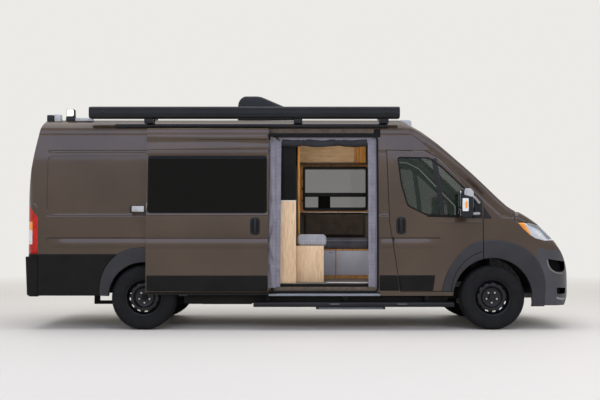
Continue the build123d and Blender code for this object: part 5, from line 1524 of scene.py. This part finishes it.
awningCase = loft(
    "awningCase",
    [awningRing(x) for x in (awningSizes["rear"] + 0.03, -1.6, -0.8, 0.0, 0.7, awningSizes["front"] - 0.03)],
    blackAluminium
)
caps = []
for x, way in ((awningSizes["rear"], 1), (awningSizes["front"], -1)):
    caps.append(
        loft(
            "awningCap",
            [
                awningRing(x + way * step, grow) for step,
                grow in ((0.0, -0.12), (0.003, -0.05), (0.008, -0.012), (0.034, -0.002), (0.036, -0.01))
            ],
            satinPlastic
        )
    )
feet = []
for x in awningSizes["brackets"]:
    feet.append(board("awningClaw", x - 0.05, x + 0.05, -1.004, -0.925, 2.395, 2.4625, satinPlastic, 0.006))
    feet.append(board("awningArm", x - 0.05, x + 0.05, -0.935, -0.60, 2.455, 2.469, satinPlastic, 0.003))
    feet.append(board("awningFoot", x - 0.05, x + 0.05, -0.645, -0.575, 2.46, 2.53, satinPlastic, 0.006))
legEnds = [
    board("legEnd", x - 0.02, x + 0.02, -1.0525, -1.045, 2.507, 2.542, satinPlastic, 0.003) for x in awningSizes["legs"]
]
fitted("awningCassette", [awningCase, *caps, *feet, *legEnds], "van", ["awning"])

# roof: rails, flood lamps at the back, marker lamps at the front, air unit
railSizes = {"x": (-2.17, 1.01), "z": (2.352, 2.389), "y": 0.93, "half": 0.028, "feet": (-2.1, -1.2, -0.3, 0.6)}
rails = []
for side in (right, left):
    middle, half = side * railSizes["y"], railSizes["half"]
    rails.append(
        board("roofRail", *railSizes["x"], middle - half, middle + half, *railSizes["z"], blackAluminium, 0.009, 3)
    )
    for x in railSizes["feet"]:
        rails.append(
            board(
                "railFoot", x - 0.05, x + 0.05, side * 0.915 - 0.02, side * 0.915 + 0.02, 2.34, 2.362, satinPlastic,
                0.004
            )
        )
lampsOnRoof = []
for side in (right, left):
    lampsOnRoof.append(
        board("floodBase", -2.775, -2.665, side * 0.79 - 0.05, side * 0.79 + 0.05, 2.43, 2.49, satinPlastic, 0.006)
    )
    lampsOnRoof.append(
        board(
            "floodHousing", -2.765, -2.675, side * 0.8 - 0.05, side * 0.8 + 0.05, 2.487, 2.5795, satinPlastic, 0.012, 3
        )
    )
    lampsOnRoof.append(
        prism(
            "floodFace", roundBox(-2.756, -2.684, 2.496, 2.571, 0.012, 4), "y", side * 0.849, side * 0.8535, lampGlow,
            0.002
        )
    )
    for k in range(5):
        lampsOnRoof.append(
            board(
                "coolingFin", -2.76 + 0.018 * k, -2.755 + 0.018 * k, side * 0.75 - 0.012, side * 0.75 + 0.012, 2.495,
                2.57, satinPlastic, 0.001
            )
        )
    wedge = prism(
        "markerLamp",
        rounded(
            [(1.146, 2.395), (1.15, 2.444), (1.17, 2.455), (1.285, 2.455), (1.307, 2.44), (1.309, 2.375)], 0.012, 4
        ),
        "y", side * 0.715, side * 0.803, paleShell, 0.008
    )
    lampsOnRoof.append(wedge)
lampsOnRoof.append(board("aerialBase", -2.915, -2.832, -0.845, -0.755, 2.42, 2.522, paleShell, 0.02, 4))
lampsOnRoof.append(board("aerialBox", -3.0, -2.918, -0.84, -0.76, 2.42, 2.512, satinPlastic, 0.012, 3))
lampsOnRoof.append(board("rearRoofBar", -2.66, -2.45, -0.86, -0.80, 2.435, 2.475, paleShell, 0.008, 3))
taken(joined("roofFittings", rails + lampsOnRoof), "van", ["roof_rails"])

airUnit = {
    "halfWidth": 0.339, "slats": 9, "slatTilt": 23, "firstSlat": (-0.44, 0.0, 2.776), "slatStep": (0.036, 0.0, -0.0155)
}
unitOutline = rounded(
    [(-0.788, 2.5), (-0.774, 2.738), (-0.715, 2.806), (-0.505, 2.806), (-0.05, 2.61), (-0.022, 2.5)], 0.05, 6
)
unit = prism("airUnit", unitOutline, "y", -airUnit["halfWidth"], airUnit["halfWidth"], satinPlastic, 0.035, 5)
slat = board("slat", -0.004, 0.004, -0.14, 0.14, -0.003, 0.012, None, 0.001)
slat.data.transform(Matrix.Rotation(math.radians(airUnit["slatTilt"]), 4, "Y"))
slats = repeated(
    "airSlats", alongTree, slat, sealRubber, None, Count=airUnit["slats"], Start=airUnit["firstSlat"],
    Step=airUnit["slatStep"]
)
fitted("airUnitSet", [unit, slats], stands=["roof_unit"])

# running board: rounded beam with grip ribs, brackets, folded step with a bright edge
runningBoard = {
    "beam": (-0.546, 1.754, -1.0995, -0.963, 0.27, 0.3225), "step": (0.172, 0.968, -1.073, -0.955, 0.242, 0.272),
    "brackets": (-0.384, 0.516, 1.456), "marks": (0.385, 1.16), "ribs": 74, "firstRib": (
        -0.50, -1.031, 0.3228
    ), "ribPitch": 0.030,
}
boardPiece = board("boardBeam", *runningBoard["beam"], blackAluminium, 0.016, 4)
boardCaps = [
    board("boardCap", x0, x1, -1.0995, -0.962, 0.2695, 0.3235, satinPlastic, 0.014, 3) for x0,
    x1 in ((-0.548, -0.532), (1.740, 1.756))
]
rib = board("rib", -0.0035, 0.0035, -0.05, 0.05, -0.001, 0.0012, None, 0.0005, 1)
ribs = repeated(
    "gripRibs", alongTree, rib, sealRubber, None, Count=runningBoard["ribs"], Start=runningBoard["firstRib"],
    Step=(runningBoard["ribPitch"], 0.0, 0.0)
)
brackets = [
    board("boardBracket", x - 0.028, x + 0.028, -0.998, -0.942, 0.3, 0.392, chassisSteel, 0.005)
    for x in runningBoard["brackets"]
]
foldedStep = board("foldedStep", *runningBoard["step"], blackAluminium, 0.006)
stepEdge = board("foldedStepEdge", 0.2, 0.94, -1.0755, -1.068, 0.252, 0.26, brushedSteel, 0.001)
marks = [
    board("boardMark", x - 0.055, x + 0.055, -1.1005, -1.095, 0.302, 0.307, brushedSteel, 0.001)
    for x in runningBoard["marks"]
]
fitted(
    "runningBoardSet", [boardPiece, *boardCaps, ribs, *brackets, foldedStep, stepEdge, *marks], "van",
    ["running_board"]
)
print("awning, roof and running board made")

# kitchen: birch carcase, white top with a sink and a hob, grey doors on the aisle side, dark board at its end
kitchen = {"x": (-1.27, -0.059), "y": (-0.895, -0.43), "floor": 0.5333}
carcase = board("kitchenCarcase", *kitchen["x"], *kitchen["y"], kitchen["floor"], 1.494, birchPly)
worktop = prism(
    "worktop",
    [(-1.27, -0.895), (-0.2603, -0.895), (-0.2603, -0.8637), (-0.059, -0.8637), (-0.059, -0.43), (-1.27, -0.43)],
    "z", 1.4945, 1.52, whiteLaminate, 0.002,
)
endLip = board("worktopEnd", -0.2595, -0.0595, -0.895, -0.866, 1.4935, 1.5, whiteLaminate, 0.001)
tallBoard = board("tallBoard", -0.26, -0.0592, -0.895, -0.864, 1.4995, 2.14, darkLaminate, 0.003)
kitchenFronts = []
for x0, x1, rows in (
    (-1.262, -0.87, (0.60, 1.49)), (-0.864, -0.47, (0.60, 0.89, 1.19, 1.49)), (-0.464, -0.066, (0.60, 1.04, 1.49))
):
    for z0, z1 in zip(rows, rows[1:]):
        kitchenFronts.append(board("kitchenFront", x0, x1, -0.43, -0.4145, z0 + 0.003, z1 - 0.003, greyLaminate))
        middle = (x0 + x1) / 2
        kitchenFronts.append(
            board(
                "fingerPull", middle - 0.05, middle + 0.05, -0.4155, -0.4085, z1 - 0.035, z1 - 0.021, satinPlastic,
                0.003
            )
        )
kitchenPlinth = board(
    "kitchenPlinth", -1.262, -0.066, -0.4305, -0.425, kitchen["floor"] + 0.006, 0.6, darkLaminate, 0.001
)
sinkRim = bandOn(
    "sinkRim", roundBox(-0.62, -0.3, -0.78, -0.52, 0.04, 5), 0.014, 0.004, lambda x, y, lift: (x, y, 1.52 + lift),
    brushedSteel, 0.002
)
sinkBowl = prism("sinkBowl", roundBox(-0.608, -0.312, -0.768, -0.532, 0.035, 5), "z", 1.5202, 1.5212, brushedSteel, 0)
tap = tube(
    "tap",
    curvedPath(
        [(-0.46, -0.80, 1.52), (-0.46, -0.80, 1.66), (-0.46, -0.77, 1.72), (-0.46, -0.70, 1.73), (-0.46, -0.665, 1.70)]
    ),
    0.011, brushedSteel, 14
)
hob = prism("hobGlass", roundBox(-1.16, -0.84, -0.82, -0.5, 0.015, 4), "z", 1.5202, 1.5262, privacyGlass, 0.002)
rings = [
    turned(
        "hobRing", [(0.075, 0.0), (0.075, 0.004), (0.045, 0.006), (0.04, 0.0)], (0, 0, 0), chassisSteel, 32, closed=True
    )
    for _ in range(2)
]
for ring, x in zip(rings, (-1.08, -0.92)):
    ring.data.transform(Matrix.Translation((x, -0.66, 1.526)) @ Matrix.Rotation(math.radians(90), 4, "X"))
taken(
    joined(
        "kitchenSet",
        [carcase, worktop, endLip, tallBoard, *kitchenFronts, kitchenPlinth, sinkRim, sinkBowl, tap, hob, *rings]
    ),
    "van", ["kitchen_unit"],
)

# benches: ply box by the door, far bench with two grey drawer fronts, pine post
doorBench = board("doorBenchBox", -0.0587, 0.27, -0.74, -0.3, 0.5333, 0.966, birchPly)
farBench = board("farBenchBox", 0.036, 0.876, 0.05, 0.9, 0.5333, 0.8955, birchPly)
farTop = board("farBenchTop", 0.036, 0.876, 0.046, 0.9, 0.896, 0.914, pineBoard)
drawers = [
    board("drawerFront", x0, x1, 0.036, 0.0505, 0.586, 0.893, greyLaminate) for x0,
    x1 in ((0.042, 0.4335), (0.449, 0.870))
]
divider = board("drawerDivider", 0.4345, 0.448, 0.045, 0.0505, 0.586, 0.893, pineBoard, 0.001)
benchPlinth = board("benchPlinth", 0.042, 0.870, 0.0455, 0.0505, 0.5395, 0.584, pineBoard, 0.001)
pull = board("drawerPull", 0.352, 0.41, 0.031, 0.037, 0.868, 0.876, brushedSteel, 0.001)
postPiece = board("post", -0.041, -0.013, -0.29, -0.23, 0.5333, 2.4, pineBoard, 0.003)
fitted(
    "benchSet", [doorBench, farBench, farTop, *drawers, divider, benchPlinth, pull, postPiece], "van",
    ["bench_boxes"]
)

# overhead cabinet with one wide flap, pine end board, pine trim and ledge round the far window
cabinetSide = [(0.512, 2.048), (0.885, 2.048), (0.875, 2.25), (0.80, 2.365), (0.512, 2.425)]
cabinetBox = prism("cabinetBox", cabinetSide, "x", -0.025, 0.7057, birchPlyLong, 0.002, 2)
cabinetFlap = board("cabinetFlap", -0.020, 0.7, 0.5, 0.5115, 2.054, 2.262, birchPlyLong)
cabinetTop = board("cabinetTop", -0.020, 0.7, 0.5, 0.5115, 2.266, 2.42, birchPlyLong)
cabinetEnd = prism(
    "cabinetEnd", [(0.52, 2.047), *cabinetSide[1:4], (0.52, 2.42)], "x", 0.7065, 0.856, pineBoard, 0.002, 2
)
fitted("cabinetSet", [cabinetBox, cabinetFlap, cabinetTop, cabinetEnd], "van", ["overhead_cabinet"])


def farWall(x, z, lift):
    return (x, flankY(z) - 0.064 - lift, z)


pineRing = bandOn(
    "pineSurround", dense(roundBox(-0.03, 0.968, 1.392, 2.046, 0.01, 2), 0.06), 0.058, 0.02, farWall, pineBoard, 0.004
)
frameRing = bandOn(
    "windowFrame", dense(roundBox(0.026, 0.914, 1.416, 2.022, 0.05, 5), 0.06), 0.034, 0.03, farWall, satinPlastic, 0.02
)
frameBar = stripOn("windowBar", [(0.04, 1.636), (0.47, 1.636), (0.9, 1.636)], 0.056, 0.024, farWall, satinPlastic)
framePost = stripOn("windowUpright", [(0.318, 1.46), (0.318, 1.53), (0.318, 1.61)], 0.165, 0.02, farWall, darkLaminate)
ledge = board("windowLedge", 0.03, 0.94, 0.868, 0.93, 1.3895, 1.4, whiteLaminate, 0.003)
latches = [
    board("latch", 0.012, 0.035, 0.898, 0.912, z - 0.012, z + 0.012, satinPlastic, 0.003) for z in (1.56, 1.72, 1.86)
]
fitted("farWindowTrim", [pineRing, frameRing, frameBar, framePost, ledge, *latches], "van")

# bed: ply deck on two boards
bed = {
    "deck": (-3.04, -1.32, -0.93, 0.93, 1.01, 1.04), "boards": (-0.56, 0.56),
    "mattress": (-3.01, -1.335, -0.892, 0.892, 1.0405, 1.182)
}
deck = board("bedDeck", *bed["deck"], birchPlyLong, 0.003)
bedBoards = [
    board("bedBoard", -3.035, -1.335, y - 0.015, y + 0.015, 0.5333, 1.0095, birchPlyLong) for y in bed["boards"]
]
fitted("bedSet", [deck, *bedBoards], "van", ["bed_platform"])
print("furniture made")

# padded pieces: a slightly small form, inflated as cloth, its travel capped, then piping laid along its seams
padding = {"spare": 0.004, "pressure": 4.0, "quality": 5, "frames": 20, "quickVoxel": 1.6}


def inflated(piece, voxel, cap, subdivided=True):
    remesh = piece.modifiers.new("remesh", "REMESH")
    remesh.mode = "VOXEL"
    remesh.voxel_size = voxel
    settled(piece)
    before = [v.co.copy() for v in piece.data.vertices]
    cloth = piece.modifiers.new("cloth", "CLOTH")
    cloth.settings.use_pressure = True
    cloth.settings.uniform_pressure_force = padding["pressure"]
    cloth.settings.effector_weights.gravity = 0
    cloth.settings.quality = padding["quality"]
    scene = bpy.context.scene
    for moment in range(padding["frames"]):
        scene.frame_set(moment + 1)
    settled(piece)
    scene.frame_set(1)
    for vertex, start in zip(piece.data.vertices, before):
        move = vertex.co - start
        if move.length > cap:
            vertex.co = start + move.normalized() * cap
    if subdivided:
        smooth = piece.modifiers.new("smooth", "SUBSURF")
        smooth.levels = smooth.render_levels = 1
        settled(piece)
    smoothed(piece.data, 80)
    return piece


def piping(name, piece, height, centre, count, radius, material):
    skin = BVHTree.FromPolygons(
        [v.co.copy() for v in piece.data.vertices], [tuple(f.vertices) for f in piece.data.polygons]
    )
    path = []
    for k in range(count):
        angle = 2 * math.pi * k / count
        way = Vector((math.cos(angle), math.sin(angle), 0))
        origin = Vector((centre[0], centre[1], height)) + way * 2
        hit = skin.ray_cast(origin, -way)[0]
        if hit:
            path.append(hit)
    return tube(name, path, radius, material, 8, closed=True)


spare = padding["spare"]
cushions = [  # name, space in x, y and z, voxel, travel, cloth, fill, rounding of the edges
    ("doorBenchCushion", (-0.056, 0.315), (-0.737, -0.303), (0.9665, 1.098), 0.008, 0.012, lightCloth, 0.9, 0.04),
    ("farSeatCushion", (0.040, 0.872), (0.056, 0.855), (0.9145, 1.053), 0.012, 0.012, darkCloth, 0.9, 0.035),
    ("farBackCushion", (0.040, 0.872), (0.868, 0.925), (1.068, 1.388), 0.009, 0.01, brownCloth, 0.9, 0.022),
]
for name, xs, ys, zs, voxel, cap, finish, fill, rounding in cushions:
    pad = board(
        name, xs[0] + spare, xs[1] - spare, ys[0] + spare, ys[1] - spare, zs[0], zs[1] - spare, finish, rounding, 5
    )
    inflated(pad, voxel, cap)
    top, foot = Vector((xs[1], ys[1], zs[1])), Vector((xs[0], ys[0], zs[0]))
    for vertex in pad.data.vertices:  # flat underneath and inside its own space
        for axis in range(3):
            vertex.co[axis] = min(max(vertex.co[axis], foot[axis]), top[axis] + spare)
    centre = ((xs[0] + xs[1]) / 2, (ys[0] + ys[1]) / 2)
    seam = zs[1] - 0.028 if zs[1] - zs[0] < 0.2 else (zs[0] + zs[1]) / 2
    edges = [piping("piping", pad, seam, centre, 96, 0.0035, lightCloth)] if zs[1] - zs[0] < 0.2 else []
    taken(pad, "van", ["seat_cushions"] if name == "doorBenchCushion" else ())
    if edges:
        taken(newPiece(name + "Piping", edges[0].data, None), "van")
        bpy.data.objects.remove(edges[0])
mattress = board("mattressPad", *bed["mattress"], mattressCloth, 0.05, 5)
inflated(mattress, 0.02, 0.008, subdivided=False)
for vertex in mattress.data.vertices:
    vertex.co.z = min(max(vertex.co.z, 1.0403), 1.189)
taken(mattress, "van", ["mattress"])
print("cushions and mattress made")

# cab seats: padded cushion, back and head rest on a plinth
cabSeat = {"y": 0.43, "cushion": 0.24, "back": 0.235, "head": 0.13, "plinth": 0.195, "travel": 0.008}  # half widths
for side, name in sides:
    y = side * cabSeat["y"]
    cushionOutline = rounded(
        [(1.571, 0.815), (1.588, 0.882), (1.46, 0.918), (1.16, 0.925), (1.05, 0.905), (1.03, 0.815)], 0.03, 4
    )
    seatPad = prism("seatPad", cushionOutline, "y", y - cabSeat["cushion"], y + cabSeat["cushion"], seatCloth, 0.035, 5)
    backOutline = rounded(
        [
            (1.06, 0.86), (1.13, 0.93), (1.10, 1.12), (1.045, 1.35), (1.006, 1.545), (0.925, 1.53), (0.95, 1.3),
            (0.995, 1.0)
        ],
        0.03, 4
    )
    backPad = prism("backPad", backOutline, "y", y - cabSeat["back"], y + cabSeat["back"], seatCloth, 0.035, 5)
    headOutline = rounded([(0.892, 1.512), (0.97, 1.516), (0.972, 1.7), (0.9, 1.71)], 0.025, 4)
    headPad = prism("headPad", headOutline, "y", y - cabSeat["head"], y + cabSeat["head"], seatCloth, 0.03, 5)
    for pad, voxel in ((seatPad, 0.012), (backPad, 0.012), (headPad, 0.009)):
        inflated(pad, voxel, cabSeat["travel"], subdivided=False)
    seat = joined("cabSeatPads" + name, [seatPad, backPad, headPad])
    smoothed(seat.data, 80)
    taken(seat, "van", ["cab_seats"] if side == right else ())
    plinth = board(
        "seatPlinth" + name, 1.10, 1.53, y - cabSeat["plinth"], y + cabSeat["plinth"], 0.5335, 0.80, grainedPlastic,
        0.02, 3
    )
    taken(plinth)
print("cab seats made")

# dashboard: moulded top with an instrument hood, middle stack with a screen, steering wheel with three spokes
dashOutline = rounded(
    [(2.155, 0.862), (2.155, 1.298), (2.03, 1.262), (1.84, 1.205), (1.768, 1.12), (1.796, 0.96), (1.846, 0.862)],
    0.022, 4
)
dash = prism("dashBody", dashOutline, "y", -0.9, 0.9, grainedPlastic, 0.012, 3)
hood = prism(
    "instrumentHood", rounded([(1.99, 1.225), (1.99, 1.285), (1.85, 1.276), (1.80, 1.19)], 0.02, 4), "y", 0.24, 0.62,
    grainedPlastic, 0.025, 4
)
stack = prism(
    "middleStack", rounded([(1.86, 0.78), (1.77, 0.8), (1.745, 1.12), (1.80, 1.225), (1.9, 1.235)], 0.02, 4), "y",
    -0.15, 0.15, satinPlastic, 0.015, 3
)
screenPlace = prism("dashScreen", roundBox(-0.11, 0.11, 1.06, 1.19, 0.01, 3), "y", 0, 0.004, privacyGlass, 0.001)
screenPlace.data.transform(Matrix.Translation((1.7555, 0, 0)) @ Matrix.Rotation(math.radians(-90), 4, "Z"))
vents = [
    board("dashVent", 1.785, 1.80, y - 0.06, y + 0.06, 1.135, 1.175, satinPlastic, 0.006)
    for y in (-0.78, -0.5, 0.2, 0.78)
]
steering = {"hub": (1.662, 0.43, 1.125), "axis": (0.75, 0, -0.66), "radius": 0.184, "rim": 0.0145, "column": 0.032}
axis = Vector(steering["axis"]).normalized()
across = Vector((0, 1, 0))
upward = across.cross(axis).normalized()
hubPoint = Vector(steering["hub"])
rim = tube(
    "steeringRim",
    [
        hubPoint + (across * math.cos(t) + upward * math.sin(t)) * steering["radius"]
        for t in (2 * math.pi * k / 64 for k in range(64))
    ],
    steering["rim"], satinPlastic, 14, closed=True
)
spokes = [
    tube(
        "steeringSpoke",
        [hubPoint + axis * 0.012 + (across * math.cos(t) + upward * math.sin(t)) * r for r in (0.04, 0.1, 0.175)],
        [0.02, 0.014, 0.013], satinPlastic, 12
    )
    for t in (0.0, math.pi, -math.pi / 2)
]
boss = turned(
    "steeringBoss", [(0, -0.01), (0.045, -0.008), (0.06, 0.004), (0.06, 0.03), (0.04, 0.04), (0, 0.042)], (0, 0, 0),
    satinPlastic, 40, closed=False
)
boss.data.transform(Matrix.Translation(hubPoint) @ axis.to_track_quat("Y", "Z").to_matrix().to_4x4())
column = tube("steeringColumn", [hubPoint + axis * 0.03, hubPoint + axis * 0.2], steering["column"], satinPlastic, 20)
fitted("dashboardSet", [dash, hood, stack, screenPlace, *vents, rim, *spokes, boss, column], stands=["dashboard"])
print("dashboard made")

# fabric surround in the doorway: one sheet round three sides with soft folds, and the insect screen rolled above
surround = {
    "rear": (-0.378, -0.244), "front": (0.783, 0.898), "top": (2.186, 2.254), "foot": 0.485, "inset": 0.031,
    "pillar": -0.308
}
folds = (  # ridges as (x, z) to (x, z), width and height in metres
    ((-0.35, 2.15), (-0.335, 1.5), 0.016, 0.010), ((-0.312, 2.1), (-0.33, 1.45), 0.012, 0.006), (
        (-0.262, 2.0), (-0.275, 1.25), 0.01, 0.007
    ),
    ((-0.252, 1.42), (-0.365, 0.99), 0.016, 0.018), ((-0.335, 1.48), (-0.365, 1.2), 0.012, 0.008), (
        (-0.35, 0.93), (-0.265, 0.70), 0.014, 0.015
    ),
    ((-0.35, 0.75), (-0.33, 0.5), 0.014, 0.012), ((-0.28, 0.72), (-0.275, 0.5), 0.011, 0.008), (
        (-0.255, 1.0), (-0.275, 0.8), 0.01, 0.007
    ),
    ((0.80, 2.1), (0.805, 0.9), 0.011, 0.006), ((0.835, 2.15), (0.83, 0.6), 0.012, -0.005), (
        (0.87, 2.1), (0.872, 1.2), 0.01, 0.005
    ),
    ((0.79, 1.1), (0.85, 0.7), 0.013, 0.006), ((0.86, 0.9), (0.862, 0.5), 0.011, 0.006),
)


def foldHeight(x, z):
    here = Vector((x, z))
    height = 0.0015 * math.sin(31 * z + 11 * x) + 0.001 * math.sin(57 * z - 40 * x)
    for a, b, width, size in folds:
        start, run = Vector(a), Vector(b) - Vector(a)
        t = min(max((here - start).dot(run) / run.length_squared, 0), 1)
        distance = (here - start - run * t).length
        height += size * math.exp(-((distance / width) ** 2))
    return height


def clothPoint(x, z):
    outside = min(max((surround["pillar"] + 0.03 - x) / 0.03, 0), 1)
    outside = outside * outside * (3 - 2 * outside)
    depth = -surround["inset"] * (1 - outside) + 0.011 * outside
    return (x, -(flankY(z) + depth + foldHeight(x, z)), z)


def surroundStrip(name, outer, inner, across=14):
    rows = [
        [clothPoint(*Vector(a).lerp(Vector(b), k / across)) for k in range(across + 1)] for a, b in zip(outer, inner)
    ]
    strip = loft(name, rows, screenCloth, closedRing=False, capped=False, angle=80)
    hem = tube(name + "Hem", [row[-1] for row in rows][::2], 0.0022, screenCloth, 6)
    for piece in (strip, hem):
        taken(piece, "van")
    return strip


def between(start, end, count):
    return [tuple(Vector(start).lerp(Vector(end), k / count)) for k in range(count + 1)]


foot, crown, head = surround["foot"], *surround["top"]
rearOuter, rearInner = surround["rear"]
frontInner, frontOuter = surround["front"]
rearStrip = surroundStrip(
    "surroundRearStrip", between((rearOuter, foot), (rearOuter + 0.02, head), 110), between(
        (rearInner, foot), (rearInner + 0.012, crown), 110
    )
)
surroundStrip(
    "surroundFrontStrip", between((frontOuter, foot), (frontOuter - 0.01, head), 110),
    between((frontInner, foot), (frontInner, crown), 110)
)
topInner = [
    (x, z - 0.014 * math.sin(math.pi * 2.4 * (x + 0.24)) ** 2) for x,
    z in between((rearInner, crown), (frontInner, crown), 60)
]
surroundStrip(
    "surroundTopStrip", between((rearInner - 0.03, head), (frontOuter - 0.02, head), 60), topInner, 6
)
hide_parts("door_screen")

rollSizes = {
    "x": (-0.222, 0.772), "y": -0.905, "z": 2.176, "turns": 9, "first": 0.008, "pitch": 0.0036, "straps": (0.03, 0.44)
}
rollRows = []
for i in range(61):
    x = rollSizes["x"][0] + (rollSizes["x"][1] - rollSizes["x"][0]) * i / 60
    nearStrap = max(math.exp(-(((x - s) / 0.035) ** 2)) for s in rollSizes["straps"])
    sag = 0.014 * (1 - max(math.exp(-(((x - s) / 0.16) ** 2)) for s in (*rollSizes["straps"], *rollSizes["x"])))
    squeeze = 1 - 0.3 * nearStrap
    row = []
    for k in range(rollSizes["turns"] * 20 + 1):
        t = 2 * math.pi * k / 20
        radius = (rollSizes["first"] + rollSizes["pitch"] * t / (2 * math.pi)) * squeeze
        ripple = 1 + 0.05 * math.sin(3 * t + 9 * x) + 0.04 * math.sin(5 * t - 23 * x)
        row.append(
            (
                x, rollSizes["y"] + radius * 0.85 * ripple * math.cos(t),
                rollSizes["z"] - sag + radius * 1.1 * ripple * math.sin(t)
            )
        )
    rollRows.append(row)
screenRoll = loft("insectScreenRoll", rollRows, meshCloth, closedRing=False, capped=False, angle=80)
straps = []
for s in rollSizes["straps"]:
    rings = []
    for k in range(28):
        t = 2 * math.pi * k / 28
        rings.append(
            [
                (s + dx, rollSizes["y"] + r * 0.85 * math.cos(t), rollSizes["z"] + r * 1.1 * math.sin(t)) for dx,
                r in ((-0.014, 0.031), (-0.014, 0.0335), (0.014, 0.0335), (0.014, 0.031))
            ]
        )
    straps.append(loft("rollStrap", rings, meshCloth, closedPath=True, capped=False, angle=40))
    straps.append(
        board(
            "strapTail", s - 0.014, s + 0.014, rollSizes["y"] - 0.006, rollSizes["y"] - 0.004, rollSizes["z"] + 0.03,
            2.252, meshCloth, 0.0005, 1
        )
    )
strapPiece = joined("rollStraps", straps)
for piece in (screenRoll, strapPiece):
    taken(piece, "van")
print("doorway fabric made")
